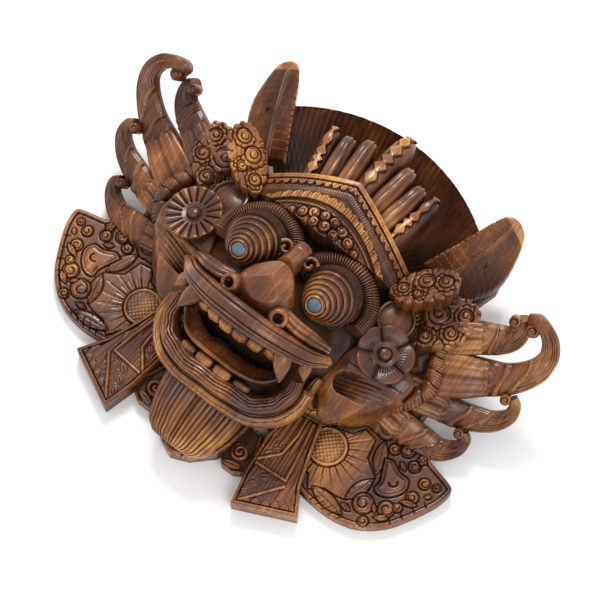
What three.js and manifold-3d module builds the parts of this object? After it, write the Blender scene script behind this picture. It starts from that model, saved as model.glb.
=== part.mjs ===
// A carved wooden barong mask that lies on its flat back.
// Millimetres. +X is the viewer's right, +Y points to the crown, +Z comes out of the face.
// The left half mirrors the right half, except for the two roundels, which differ.
import * as THREE from "three";
import { mergeVertices } from "three/addons/utils/BufferGeometryUtils.js";
import Module from "manifold-3d";

// Shell of the face
const FACE_HALF_WIDTH = 112;
const FACE_HALF_HEIGHT = 106;
const FACE_RISE = 80;
const MUZZLE_HALF_WIDTH = 68;
const MUZZLE_HALF_HEIGHT = 56;
const MUZZLE_RISE = 112;
const MUZZLE_Y = -34;
const FACE_WALL = 16;
const HOLLOW_HALF_WIDTH = 92;
const HOLLOW_HALF_HEIGHT = 84;
// The head narrows by this share between the eyes and the jaw.
const JAW_TAPER = 0.36;
const JAW_Y = -70;

// Eyes and the inlaid pupils
const EYE_X = 35;
const EYE_Y = -7;
const EYE_Z = 96;
const EYE_RADIUS = 23;
const EYE_HEIGHT = 24;
const EYE_STEPS = 4;
const EYE_TILT = THREE.MathUtils.degToRad(39);
const PUPIL_RADIUS = 5.4;
const PUPIL_LENGTH = 4;
const PUPIL_PROUD = 0.4;
const PUPIL_GAP = 0.3;

// Roundels beside the face
const ROUNDEL_X = 91;
const ROUNDEL_Y = -8;
const ROUNDEL_Z = 76;
const ROUNDEL_RADIUS = 22.5;
const ROUNDEL_THICKNESS = 8;
const ROUNDEL_TILT = THREE.MathUtils.degToRad(12);
const LEFT_ROUNDEL_CUTS = 18;
const RIGHT_ROUNDEL_PETALS = 5;

// Plumes
const WING_REACH = 196;
const PLUME_ROOT_X = 122;
const PLUME_THICKNESS = 13;
const WING_SLOPE_Y = 0.6;
const WING_SLOPE_X = -0.2;
const WING_FRONT = 15;
const WING_X = 160;
const WING_Y = -35;

// Ear flaps and ribbons
const FLAP_THICKNESS = 13;
const RIBBON_FRONT = 20;
const RIBBON_RIDGES = 5;
const RIDGE_HEIGHT = 2.5;

// Crown
const DIADEM_FRONT = 103;
const DIADEM_BEND = 0.0073;
const DIADEM_BACK = 38;
const DIADEM_BORDER = 5;
const DIADEM_HALF_WIDTH = 66;
const DIADEM_SINK = 2.4;
const HALO_RADIUS = 146;
const HALO_FLOOR_RADIUS = 84;
const HALO_RIM = 60;
const HALO_FLOOR = 26;
const HALO_WALL = 9;
const HALO_SPREAD = THREE.MathUtils.degToRad(45);
const HALO_FLUTES = 13;
const HALO_FLUTE_DEPTH = 2;
const FEATHER_FRONT = 78;
const FEATHER_THICKNESS = 11;

// Beard and jaw
const BEARD_HALF_WIDTH = 34;
const BEARD_TOP = -98;
const BEARD_TIP = -156;
const BEARD_RIDGES = 13;
const BACK_PLATE = 12;
const MOUTH_DEPTH = 130;

// Slivers thinner than this are merged into their neighbours.
const FACET_TOLERANCE = 0.8;

const wasm = await Module();
wasm.setup();
const UP = new THREE.Vector3(0, 0, 1);

// A closed surface as a solid, with its doubled vertices joined and its faces turned outwards.
function solid(geometry) {
  const bare = new THREE.BufferGeometry();
  bare.setAttribute("position", geometry.getAttribute("position").clone());
  bare.setIndex(geometry.index);
  const joined = mergeVertices(bare, 1e-3);
  const corners = [];
  const source = joined.index.array;
  for (let i = 0; i < source.length; i += 3) {
    const [a, b, c] = [source[i], source[i + 1], source[i + 2]];
    if (a !== b && b !== c && c !== a) corners.push(a, b, c);
  }
  const build = (list) =>
    new wasm.Manifold(
      new wasm.Mesh({
        numProp: 3,
        vertProperties: joined.getAttribute("position").array,
        triVerts: new Uint32Array(list),
      }),
    );
  const made = build(corners);
  return made.volume() < 0 ? build(corners.reverse()) : made;
}

// Moves every vertex of a geometry by a rule.
function reshape(geometry, rule) {
  const place = geometry.getAttribute("position");
  const point = new THREE.Vector3();
  for (let i = 0; i < place.count; i++) {
    point.fromBufferAttribute(place, i);
    rule(point);
    place.setXYZ(i, point.x, point.y, point.z);
  }
  return geometry;
}

// An ellipsoid of which the front half stands on the back plane.
function dome([x, y], [halfWidth, halfHeight, rise], { sides = 16, taper = 0 } = {}) {
  const ball = new THREE.SphereGeometry(1, sides, 6);
  ball.rotateX(Math.PI / 2);
  ball.scale(halfWidth, halfHeight, rise);
  ball.translate(x, y, 0);
  reshape(ball, (p) => (p.x *= 1 - taper * THREE.MathUtils.smoothstep(-p.y, 0, -JAW_Y)));
  return solid(ball);
}

// A plate cut to an outline, from its back to its front, its front edge chamfered.
function plate(outline, back, front, chamfer = 1.5, heightAt = null) {
  const shape = new THREE.Shape(outline.map(([x, y]) => new THREE.Vector2(x, y)));
  const board = new THREE.ExtrudeGeometry(shape, {
    depth: front - back - 2 * chamfer,
    bevelThickness: chamfer,
    bevelSize: chamfer,
    bevelOffset: -chamfer,
    bevelSegments: 1,
  });
  board.translate(0, 0, back + chamfer);
  if (heightAt) reshape(board, (p) => (p.z += heightAt(p.x, p.y)));
  return solid(board);
}

// An outline through the given points, its round stretches smoothed.
function smoothOutline(points, count) {
  const curve = new THREE.SplineCurve(points.map(([x, y]) => new THREE.Vector2(x, y)));
  return curve.getPoints(count).map((p) => [p.x, p.y]);
}

// A closed bar swept along stations [x, y, z, half width, half depth].
// The section is given as a share of the half sizes for an angle round the bar.
function bar(stations, { sides = 8, rings = 10, up = UP, section = null } = {}) {
  const path = new THREE.CatmullRomCurve3(
    stations.map(([x, y, z]) => new THREE.Vector3(x, y, z)),
  );
  const sizes = new THREE.CatmullRomCurve3(
    stations.map(([, , , width, depth]) => new THREE.Vector3(width, depth, 0)),
  );
  const rod = new THREE.CylinderGeometry(1, 1, 1, sides, rings);
  return solid(
    reshape(rod, (p) => {
      const along = THREE.MathUtils.clamp(p.y + 0.5, 0, 1);
      const centre = path.getPoint(along);
      const heading = path.getTangent(along);
      const size = sizes.getPoint(along);
      const side = new THREE.Vector3().crossVectors(heading, up).normalize();
      const lift = new THREE.Vector3().crossVectors(side, heading).normalize();
      const share = section ? section(Math.atan2(p.z, p.x)) : 1;
      const width = p.x * size.x * share;
      const depth = p.z * size.y * share;
      p.copy(centre).addScaledVector(side, width).addScaledVector(lift, depth);
    }),
  );
}

// A turned solid from [radius, height] steps, stood on a point and leaned over.
function turned(profile, sides, [x, y, z], leanX, leanY) {
  const round = new THREE.LatheGeometry(
    profile.map(([radius, height]) => new THREE.Vector2(radius, height)),
    sides,
  );
  round.rotateX(Math.PI / 2);
  round.rotateX(leanX);
  round.rotateY(leanY);
  round.translate(x, y, z);
  return solid(round);
}

function joinAll(solids) {
  return solids.reduce((whole, next) => whole.add(next));
}

// A solid with its mirror image on the other side of the mask.
function bothSides(one) {
  return one.add(one.mirror([1, 0, 0]));
}

// Front of the wing that carries the plumes, at a place in plan.
function wingFront(x, y) {
  return WING_FRONT + WING_SLOPE_Y * (y - WING_Y) + WING_SLOPE_X * (x - WING_X);
}
const WING_NORMAL = new THREE.Vector3(-WING_SLOPE_X, -WING_SLOPE_Y, 1).normalize();

// One plume, its front worked in three long ridges.
// Its stations are [share of the reach, y, half width, rise above the wing].
function plume(stations, rings) {
  const lifted = stations.map(([share, y, width, rise]) => {
    const x = PLUME_ROOT_X + share * (WING_REACH - PLUME_ROOT_X);
    const middle = wingFront(x, y) - PLUME_THICKNESS / 2 + rise;
    return [x, y, middle, width, PLUME_THICKNESS / 2];
  });
  return bar(lifted, { sides: 12, rings, up: WING_NORMAL, section: ridgedSection });
}

// Section with a flat back and a front that alternates between ridge and groove.
function ridgedSection(angle) {
  const rise = Math.sin(angle);
  if (rise < 0.3) return 1 / Math.max(Math.abs(Math.cos(angle)), Math.abs(rise), 0.8);
  const isGroove = Math.round(angle / (Math.PI / 6)) % 2 === 0;
  return isGroove ? 0.8 : 1.08;
}

const PLUMES = [
  [
    [-0.05, 38, 15, -1], [0.16, 48, 13, -2], [0.35, 56.5, 10, -3], [0.46, 63, 7.5, -1],
    [0.49, 68, 5.5, 5], [0.43, 72, 4.4, 8],
  ],
  [
    [0, 12, 19, 0], [0.26, 22, 17.5, 0], [0.46, 31.5, 14.5, -2], [0.62, 38, 12.5, 0],
    [0.76, 45, 11, 6], [0.86, 53, 9.5, 14], [0.89, 60.5, 7.8, 22], [0.82, 67.5, 6.5, 27],
    [0.72, 71.5, 5.4, 27], [0.62, 72, 4.6, 21],
  ],
  [
    [0, -6, 13, 0], [0.19, -3, 12, -1], [0.41, 1, 11, -3], [0.59, 6, 10, -3],
    [0.76, 12, 8.2, -2], [0.86, 20, 6, 1], [0.86, 27.5, 4.6, 3], [0.8, 30.5, 3.8, 4],
  ],
  [
    [-0.05, -28, 12, 0], [0.12, -28.5, 11.5, -1], [0.31, -27, 10.5, -3], [0.47, -25, 9, -4],
    [0.61, -18, 6.3, -1], [0.65, -11, 4.6, 3], [0.59, -7.5, 3.8, 3],
  ],
];

function wing() {
  const root = [
    [92, -44], [128, -42], [136, -18], [136, 8],
    [142, 26], [138, 42], [124, 58], [92, 58],
  ];
  const board = plate(root, -PLUME_THICKNESS - 4, -1, 1.5, wingFront);
  const blades = PLUMES.map((stations) => plume(stations, stations.length - 1));
  return joinAll([board, ...blades]);
}

// The scrolled panels between the face and the plumes.
function scrollPanels() {
  const outer = smoothOutline(
    [
      [80, 22], [84, 46], [98, 60], [112, 65], [123, 63],
      [127, 48], [124, 32], [112, 18], [96, 10], [80, 22],
    ],
    13,
  );
  const tongue = smoothOutline(
    [
      [62, 34], [68, 50], [80, 64], [97, 69], [103, 62],
      [102, 48], [92, 38], [76, 30], [62, 34],
    ],
    11,
  );
  const panel = plate(outer.slice(0, -1), 34, 70, 2, (x, y) => 0.12 * (y - 40));
  const front = plate(tongue.slice(0, -1), 48, 82, 2, (x, y) => 0.55 * (x - 76));
  return joinAll([panel, front, coil(112, 44, 72, 9, 4)]);
}

// A raised spiral, seen from the front.
function coil(x, y, z, radius, thickness, turns = 1.6, start = 0, hand = 1) {
  const stations = [];
  for (let i = 0; i <= 8; i++) {
    const angle = start + hand * (i / 8) * turns * 2 * Math.PI;
    const reach = radius * (1 - 0.8 * (i / 8));
    stations.push([x + reach * Math.cos(angle), y + reach * Math.sin(angle), z, thickness / 2, thickness]);
  }
  return bar(stations, { sides: 4, rings: 8 });
}

function flap() {
  const outline = [
    [50, -44], [120, -32], [150, -33], [161, -37], [178, -41], [184, -45], [183, -56], [179, -67],
    [172, -81], [164, -94], [153, -105], [141, -112], [125, -116], [107, -116], [88, -112], [44, -110],
  ];
  const board = plate(outline, 0, FLAP_THICKNESS, 1.5);
  const carving = [];
  // Medallion with its rays.
  const [mx, my] = [92, -74];
  carving.push(turned([[0, 0], [17, 0], [15, 3], [0, 6.5]], 10, [mx, my, FLAP_THICKNESS - 0.5], 0, 0));
  for (let i = 0; i < 6; i++) {
    const angle = THREE.MathUtils.degToRad(-78 + 31 * i);
    const [c, s] = [Math.cos(angle), Math.sin(angle)];
    carving.push(
      bar(
        [
          [mx + 15 * c, my + 15 * s, FLAP_THICKNESS, 3, 3],
          [mx + 31 * c, my + 31 * s, FLAP_THICKNESS - 0.6, 0.8, 1.2],
        ],
        { sides: 3, rings: 1 },
      ),
    );
  }
  // Pear-shaped bulb between two leaves.
  carving.push(
    bar(
      [
        [124, -52, FLAP_THICKNESS - 1, 2, 3],
        [132, -58, FLAP_THICKNESS, 7, 5],
        [142, -66, FLAP_THICKNESS, 9, 5.5],
        [150, -72, FLAP_THICKNESS - 1, 4, 3],
      ],
      { sides: 6, rings: 3 },
    ),
  );
  const leaves = [
    [[128, -42], [140, -43], [152, -50], [160, -62]],
    [[128, -66], [134, -78], [146, -84], [160, -82]],
    [[118, -84], [124, -96], [138, -102], [150, -97]],
    [[152, -76], [162, -74], [170, -66], [173, -56]],
  ];
  for (const points of leaves) {
    const widths = [2, 4, 3.6, 1.2];
    const front = FLAP_THICKNESS - 0.5;
    const stations = points.map(([x, y], i) => [x, y, front, widths[i], widths[i] * 0.8]);
    carving.push(bar(stations, { sides: 3, rings: 3 }));
  }
  return joinAll([board, ...carving]);
}

// A hanging ribbon, widening to its end, with long ridges and then two zigzag triangles.
function ribbon() {
  const outline = [
    [53, -60], [77, -60], [84, -86], [94, -113],
    [106, -134], [61, -156], [54, -128], [51, -94],
  ];
  const board = plate(outline, 0, RIBBON_FRONT - 2, 1.5);
  const front = RIBBON_FRONT - 2;
  const ridges = [];
  for (let i = 0; i < RIBBON_RIDGES; i++) {
    const share = (i + 0.5) / RIBBON_RIDGES;
    ridges.push(
      bar(
        [
          [54 + 22 * share, -62, front, 1.8, RIDGE_HEIGHT],
          [53 + 31 * share, -88, front, 2.6, RIDGE_HEIGHT],
          [54 + 38 * share, -112 + 6 * share, front, 3.2, RIDGE_HEIGHT],
        ],
        { sides: 3, rings: 2 },
      ),
    );
  }
  const zigzags = [
    [[56, -122], [80, -137], [93, -112]],
    [[64, -148], [80, -137], [101, -130], [93, -116]],
  ];
  for (const points of zigzags)
    for (let i = 0; i + 1 < points.length; i++) {
      const ends = points.slice(i, i + 2);
      ridges.push(bar(ends.map(([x, y]) => [x, y, front, 2, 2.8]), { sides: 3, rings: 1 }));
    }
  return joinAll([board, ...ridges]);
}

// A stepped eye that looks down past the nose.
function eye() {
  const profile = [[0, -14], [EYE_RADIUS + 2, -14], [EYE_RADIUS + 2, -2]];
  for (let i = 0; i < EYE_STEPS; i++) {
    const share = i / EYE_STEPS;
    const radius = EYE_RADIUS - share * (EYE_RADIUS - PUPIL_RADIUS - 1.6);
    const height = EYE_HEIGHT * Math.sin((share * Math.PI) / 2.15);
    profile.push([radius, height - 1.2], [radius - 1, height + 1]);
  }
  profile.push([PUPIL_RADIUS + 2, EYE_HEIGHT], [0, EYE_HEIGHT]);
  return turned(profile, 15, [EYE_X, EYE_Y, EYE_Z], EYE_TILT, 0);
}

function pupilSeat() {
  const radius = PUPIL_RADIUS + PUPIL_GAP;
  const floor = EYE_HEIGHT - PUPIL_LENGTH - PUPIL_GAP + PUPIL_PROUD;
  return turned(
    [[0, floor], [radius, floor], [radius, EYE_HEIGHT + 6], [0, EYE_HEIGHT + 6]],
    16,
    [EYE_X, EYE_Y, EYE_Z],
    EYE_TILT,
    0,
  );
}

function pupil() {
  const floor = EYE_HEIGHT - PUPIL_LENGTH + PUPIL_PROUD;
  const top = EYE_HEIGHT + PUPIL_PROUD;
  const r = PUPIL_RADIUS;
  const profile = [[0, floor], [r, floor], [r, top - 1], [r * 0.7, top], [0, top + 0.5]];
  return turned(profile, 16, [EYE_X, EYE_Y, EYE_Z], EYE_TILT, 0);
}

// Brow: a thick arc over the eye.
function brow() {
  const arc = [];
  for (let i = 0; i <= 6; i++) {
    const angle = THREE.MathUtils.degToRad(-5 + i * 30);
    const [c, s] = [Math.cos(angle), Math.sin(angle)];
    arc.push([EYE_X + 29 * c, EYE_Y + 5 + 29 * s, 88 - 13 * Math.max(c, 0) - 5 * s, 5, 9]);
  }
  return bar(arc, { sides: 6, rings: 7 });
}

function nose() {
  const bulb = new THREE.SphereGeometry(1, 10, 7);
  reshape(bulb, (p) => {
    const drop = (1 - p.y) / 2;
    p.x *= 10 + 8 * drop;
    p.z = p.z * (14 + 4 * drop) + 108 + 2 * drop;
    p.y = p.y * 20 - 32;
  });
  const wingStations = [
    [8, -38, 112, 8, 9],
    [20, -44, 117, 8, 9],
    [30, -51, 108, 4, 6],
  ];
  const nostril = turned([[0, -8], [3.4, -8], [3.4, 8], [0, 8]], 6, [22, -50, 124], 0.7, 0.2);
  const flank = bar(wingStations, { sides: 5, rings: 2 });
  const bridge = bar([[0, -20, 112, 8, 12], [0, -4, 104, 7, 14], [0, 8, 96, 9, 14]], { sides: 5, rings: 1 });
  const knob = turned([[0, -8], [9, -8], [9, 3], [5, 8], [0, 9]], 7, [0, 5, 104], 0.5, 0);
  return joinAll([solid(bulb), bothSides(flank), bridge, knob]).subtract(bothSides(nostril));
}

// A band that runs round the muzzle from side to side, its front worked in ridges.
// The ends and the middle are [x, y, z]; the band bows between them.
function muzzleBand([endX, endY, endZ], [middleY, middleZ], halfWidth, depth, rings) {
  const line = [];
  for (let i = -4; i <= 4; i++) {
    const share = Math.sin((i / 8) * Math.PI);
    const bow = share ** 2;
    line.push([
      endX * share,
      middleY + (endY - middleY) * bow,
      middleZ + (endZ - middleZ) * bow ** 1.3,
      halfWidth * (1 - 0.25 * bow),
      depth,
    ]);
  }
  const ridged = (angle) => {
    const isGroove = Math.round((angle / Math.PI) * 6) % 2 === 0;
    return Math.sin(angle) > 0.2 && isGroove ? 0.82 : 1.05;
  };
  return bar(line, { sides: 12, rings, section: ridged, up: new THREE.Vector3(0, -0.35, 1) });
}

function upperLip() {
  return muzzleBand([60, -48, 92], [-67, 126], 12, 11, 10);
}

// Teeth of the upper jaw in a curve, with a long fang at each end.
function upperTeeth() {
  const teeth = [];
  for (let i = -2.5; i <= 2.5; i++) {
    const x = i * 11;
    const z = 112 - 0.012 * x * x;
    const y = -72 + 0.008 * x * x;
    teeth.push(
      bar([[x, y + 14, z + 8, 5.5, 6], [x, y - 1, z - 1, 5.7, 5.5]], { sides: 5, rings: 1 }),
    );
  }
  const fangStations = [
    [39, -55, 106, 6, 6],
    [42, -66, 104, 5.5, 5.5],
    [44, -76, 99, 4, 4],
    [45, -82, 96, 1.2, 1.2],
  ];
  const smallStations = [
    [52, -56, 98, 5, 5],
    [54, -64, 94, 3.6, 4],
    [55, -70, 90, 1.2, 1.4],
  ];
  const fang = bar(fangStations, { sides: 6, rings: 2 });
  const small = bar(smallStations, { sides: 5, rings: 2 });
  return joinAll([...teeth, bothSides(fang), bothSides(small)]);
}

// Lower jaw: a lip band, a row of teeth inside it and the chin band below it.
function lowerJaw() {
  const chin = new THREE.SphereGeometry(1, 10, 6);
  reshape(chin, (p) => {
    p.x *= 50;
    p.z = p.z * 46 + 34;
    p.y = p.y * 32 - 80;
  });
  const teeth = [];
  for (let i = -2; i <= 2; i++) {
    const x = i * 13;
    const y = -101 + 0.012 * x * x;
    const z = 94 - 0.013 * x * x;
    teeth.push(bar([[x, y, z - 8, 5.6, 4], [x, y + 9, z, 5.6, 5]], { sides: 4, rings: 1 }));
  }
  return joinAll([
    solid(chin),
    muzzleBand([47, -78, 72], [-100, 82], 10, 12, 9),
    ...teeth,
  ]);
}

function mouthOpening() {
  const outline = [];
  const steps = 12;
  for (let i = 0; i <= steps; i++) {
    const share = 1 - (2 * i) / steps;
    outline.push([40 * share, -70 + 7 * share * share]);
  }
  for (let i = 1; i < steps; i++) {
    const share = (2 * i) / steps - 1;
    outline.push([40 * share, -88 + 21 * share * share]);
  }
  return plate(outline, -20, MOUTH_DEPTH, 0.5);
}

function beard() {
  const ridged = (angle) => (Math.round((angle / Math.PI) * BEARD_RIDGES) % 2 === 0 ? 0.86 : 1);
  const body = bar(
    [
      [0, BEARD_TOP + 6, 42, BEARD_HALF_WIDTH, 20],
      [0, -124, 36, BEARD_HALF_WIDTH - 1, 20],
      [0, -142, 30, BEARD_HALF_WIDTH - 9, 15],
      [0, BEARD_TIP + 1, 28, BEARD_HALF_WIDTH - 20, 8],
    ],
    { sides: 2 * BEARD_RIDGES, rings: 3, section: ridged },
  );
  const behind = [
    [36, -90], [33, -120], [29, -132], [14, -147], [0, -153],
    [-14, -147], [-29, -132], [-33, -120], [-36, -90],
  ];
  const leaf = [
    [58, -90], [58, -110], [54, -130], [46, -135],
    [36, -135], [28, -128], [30, -96],
  ];
  return joinAll([
    body,
    plate(behind, 0, BACK_PLATE + 8, 1.5),
    bothSides(plate(leaf, 0, BACK_PLATE, 1.5)),
  ]);
}

// Front of the crown piece, bowed back towards its two feet.
function diademFront(x) {
  return DIADEM_FRONT - DIADEM_BEND * x * x;
}

// A block whose lower edge follows the brows and whose upper edge is a gable.
function gable(inset, backAt, frontAt) {
  const block = new THREE.BoxGeometry(1, 1, 1, 8, 1, 1);
  return solid(
    reshape(block, (p) => {
      const x = 2 * p.x * (DIADEM_HALF_WIDTH - inset);
      const share = Math.abs(x) / DIADEM_HALF_WIDTH;
      const top = 79 - 25 * share - inset;
      const low = 30 + 8 * share + inset * 0.8;
      const y = low + (p.y + 0.5) * (top - low);
      p.set(x, y, p.z < 0 ? backAt(x) : frontAt(x));
    }),
  );
}

function diadem() {
  const block = gable(0, () => DIADEM_BACK, diademFront);
  const sunk = gable(
    DIADEM_BORDER,
    (x) => diademFront(x) - DIADEM_SINK,
    (x) => diademFront(x) + 10,
  );
  const petals = [];
  const rows = [
    { count: 7, low: 62, fall: 0.34, size: 9, length: 10 },
    { count: 6, low: 46, fall: 0.22, size: 9, length: 9 },
  ];
  for (const { count, low, fall, size, length } of rows)
    for (let i = 0; i < count; i++) {
      const share = (2 * (i + 0.5)) / count - 1;
      const x = share * 56;
      const y = low - fall * Math.abs(x);
      const z = diademFront(x) - DIADEM_SINK;
      const foot = [x, y - length / 2, z, size * 0.5, 3.4];
      const end = [x, y + length / 2, z, size * 0.72, 3.8];
      petals.push(bar([foot, end], { sides: 4, rings: 1 }));
    }
  const curls = bothSides(coil(12, 34, 100, 8, 4));
  return joinAll([block.subtract(sunk), ...petals, curls]);
}

// The fluted dish behind the crown, its rim standing forward.
function halo() {
  const dish = new THREE.BoxGeometry(1, 1, 1, 2 * HALO_FLUTES, 2, 1);
  return solid(
    reshape(dish, (p) => {
      const flute = Math.round((p.x + 0.5) * 2 * HALO_FLUTES) % 2;
      const angle = Math.PI / 2 - 2 * p.x * HALO_SPREAD;
      const share = p.y + 0.5;
      const radius = HALO_FLOOR_RADIUS + share * (HALO_RADIUS - HALO_FLOOR_RADIUS);
      const inner = HALO_FLOOR + (HALO_RIM - HALO_FLOOR) * share ** 1.7;
      const cut = p.z > 0 && share < 0.99 ? HALO_FLUTE_DEPTH * flute : 0;
      p.set(
        radius * Math.cos(angle),
        radius * Math.sin(angle) - 1,
        p.z > 0 ? inner - cut : Math.max(0, inner - HALO_WALL - 16 * (1 - share)),
      );
    }),
  );
}

// Flame locks that lean out from the crown over the dish.
function flames() {
  const parts = [];
  const flame = (x, lean, length, top, width, notches) => {
    const foot = 76 - 0.36 * Math.abs(x);
    const front = diademFront(x) - 8;
    const stations = [
      [x, foot - 6, front - 6, width, 14],
      [x + lean * 0.4, foot + length * 0.4, front - 4 - (front - top) * 0.3, width * 1.05, 12],
      [x + lean * 0.8, foot + length * 0.8, front - (front - top) * 0.75, width * 0.9, 9],
      [x + lean, foot + length, top, width * 0.35, 4],
    ];
    parts.push(bar(stations, { sides: 5, rings: 2 }));
    for (let i = 0; i < notches; i++) {
      const share = (i + 0.8) / (notches + 0.4);
      const z = front + 4 - (front - top) * share;
      const y = foot + length * share;
      const leaned = x + lean * share;
      const petal = [
        [leaned, y - 7, z, 2, 3],
        [leaned, y + 1, z + 1, width * 0.95, 5],
      ];
      parts.push(bar(petal, { sides: 4, rings: 1 }));
    }
  };
  flame(0, 2, 66, 70, 8, 4);
  for (const side of [-1, 1]) {
    flame(side * 14, side * 4, 46, 76, 5.5, 0);
    flame(side * 26, side * 7, 46, 74, 5.5, 0);
    flame(side * 38, side * 9, 50, 72, 6, 3);
  }
  return joinAll(parts);
}

// A tall feather that leans forward beside the crown, with a midrib and slanting barbs.
function feather() {
  const outline = smoothOutline(
    [
      [66, 72], [75, 88], [83, 103], [91, 119], [98, 130], [108, 134],
      [116, 130], [121, 116], [121, 100], [114, 84], [98, 68], [66, 72],
    ],
    13,
  );
  const slope = (x, y) => 0.8 * (y - 115) - 0.55 * (x - 89);
  const blade = plate(outline.slice(0, -1), FEATHER_FRONT - FEATHER_THICKNESS, FEATHER_FRONT, 1.5, slope);
  const behind = [[104, 58], [118, 62], [127, 80], [125, 96], [116, 100], [106, 84]];
  const second = plate(behind, 38, 48, 1.5, (x, y) => 0.4 * (y - 75));
  const footStations = [[86, 50, 36, 16, 18], [92, 70, 36, 15, 10], [98, 84, 36, 12, 6]];
  const foot = bar(footStations, { sides: 6, rings: 1 });
  return joinAll([blade, second, foot]);
}

function ear() {
  const lobe = bar(
    [
      [112, -18, 58, 10, 7],
      [106, -34, 54, 13, 8],
      [94, -48, 46, 15, 10],
      [80, -59, 42, 11, 7],
      [72, -64, 38, 4, 4],
    ],
    { sides: 6, rings: 5 },
  );
  const rim = bar(
    [
      [104, -26, 66, 3, 4],
      [86, -24, 68, 3, 4],
      [70, -34, 62, 3, 4],
      [62, -48, 52, 3.4, 5],
      [64, -58, 44, 4, 5],
    ],
    { sides: 4, rings: 6 },
  );
  const tendril = bar(
    [
      [60, -44, 56, 4, 7],
      [58, -54, 48, 4.4, 7],
      [63, -62, 40, 4.6, 6],
      [71, -60, 36, 3.6, 5],
    ],
    { sides: 4, rings: 5 },
  );
  return joinAll([lobe, rim, tendril]);
}

// Disc with straight radial cuts on a round stem; the other disc has notched petals.
function roundel(side) {
  const cuts = side < 0 ? LEFT_ROUNDEL_CUTS : RIGHT_ROUNDEL_PETALS;
  const sides = side < 0 ? 2 * LEFT_ROUNDEL_CUTS : 25;
  const disc = new THREE.CylinderGeometry(1, 0.86, 1, sides, 1);
  reshape(disc, (p) => {
    const angle = Math.atan2(p.z, p.x);
    const ring = Math.hypot(p.x, p.z);
    const isCut = Math.round((angle / Math.PI) * cuts) % 2 !== 0;
    const rounded = 0.9 + 0.1 * Math.abs(Math.sin((angle * cuts) / 2)) ** 0.5;
    const straight = isCut ? 0.96 : 1;
    const petal = side < 0 ? straight : rounded;
    const dip = p.y > 0 && ring < 0.5 ? -2.5 : 0;
    p.set(p.x * ROUNDEL_RADIUS * petal, -p.z * ROUNDEL_RADIUS * petal, p.y * ROUNDEL_THICKNESS + dip);
  });
  disc.rotateY(side * ROUNDEL_TILT);
  disc.translate(side * ROUNDEL_X, ROUNDEL_Y, ROUNDEL_Z - ROUNDEL_THICKNESS / 2);
  const lean = side * ROUNDEL_TILT;
  const place = [side * ROUNDEL_X, ROUNDEL_Y, ROUNDEL_Z];
  const stem = turned([[0, -50], [14, -50], [13, -6], [0, -6]], 9, place, 0, lean);
  const knob = turned([[0, -6], [4, -6], [4, 0], [0, 2.4]], 8, place, 0, lean);
  return joinAll([solid(disc), stem, knob]);
}

// Plain rounded disc that shows behind each roundel.
function crescent() {
  const profile = [[0, -40], [16, -40], [17, -2], [14.5, 1], [12.5, -1.5], [0, 0]];
  return turned(profile, 12, [79, 19, 66], 0, 0.2);
}

function face() {
  const shell = dome([0, -4], [FACE_HALF_WIDTH, FACE_HALF_HEIGHT, FACE_RISE], { taper: JAW_TAPER });
  const muzzle = dome([0, MUZZLE_Y], [MUZZLE_HALF_WIDTH, MUZZLE_HALF_HEIGHT, MUZZLE_RISE]);
  return shell.add(muzzle);
}

// The hollow at the back that opens onto the back plane.
function hollow() {
  const wide = dome([0, -4], [HOLLOW_HALF_WIDTH, HOLLOW_HALF_HEIGHT, FACE_RISE - FACE_WALL], {
    sides: 12,
    taper: JAW_TAPER,
  });
  const muzzleSize = [MUZZLE_HALF_WIDTH, MUZZLE_HALF_HEIGHT, MUZZLE_RISE];
  const deep = dome(
    [0, MUZZLE_Y],
    muzzleSize.map((size) => size - FACE_WALL),
    { sides: 12 },
  );
  return wide.add(deep);
}

// Everything on the wall side of the back plane.
function behindTheBack() {
  const slab = new THREE.BoxGeometry(3 * WING_REACH, 3 * WING_REACH, WING_REACH);
  slab.translate(0, 0, -WING_REACH / 2);
  return solid(slab);
}

function carvedMask() {
  const halves = bothSides(
    joinAll([wing(), scrollPanels(), flap(), ribbon(), eye(), brow(), feather(), ear(), crescent()]),
  );
  const whole = joinAll([
    face(),
    halves,
    diadem(),
    halo(),
    flames(),
    nose(),
    lowerJaw(),
    upperLip(),
    beard(),
    roundel(-1),
    roundel(1),
  ]);
  return whole
    .subtract(mouthOpening())
    .subtract(hollow())
    .add(upperTeeth())
    .simplify(FACET_TOLERANCE)
    .subtract(bothSides(pupilSeat()))
    .subtract(behindTheBack());
}

// A named mesh of a finished solid.
function meshOf(name, made, colour) {
  const { vertProperties, triVerts, numProp } = made.getMesh();
  const count = vertProperties.length / numProp;
  const places = new Float32Array(count * 3);
  for (let i = 0; i < count; i++)
    places.set(vertProperties.subarray(i * numProp, i * numProp + 3), i * 3);
  const geometry = new THREE.BufferGeometry();
  geometry.setAttribute("position", new THREE.BufferAttribute(places, 3));
  geometry.setIndex(new THREE.BufferAttribute(triVerts, 1));
  const mesh = new THREE.Mesh(geometry, new THREE.MeshStandardMaterial({ color: colour }));
  mesh.name = name;
  return mesh;
}

const mask = carvedMask();
const box = mask.boundingBox();
const toCentre = [-(box.min[0] + box.max[0]) / 2, -(box.min[1] + box.max[1]) / 2, 0];
const rightPupil = pupil();

const part = new THREE.Group();
part.add(
  meshOf("carved_mask", mask.translate(toCentre), 0x6b3a1f),
  meshOf("pupil_left", rightPupil.mirror([1, 0, 0]).translate(toCentre), 0x5b6f7d),
  meshOf("pupil_right", rightPupil.translate(toCentre), 0x5b6f7d),
);
export default part;
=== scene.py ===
import math

import bmesh
import bpy
import numpy as np
from mathutils import Matrix, Vector


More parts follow.
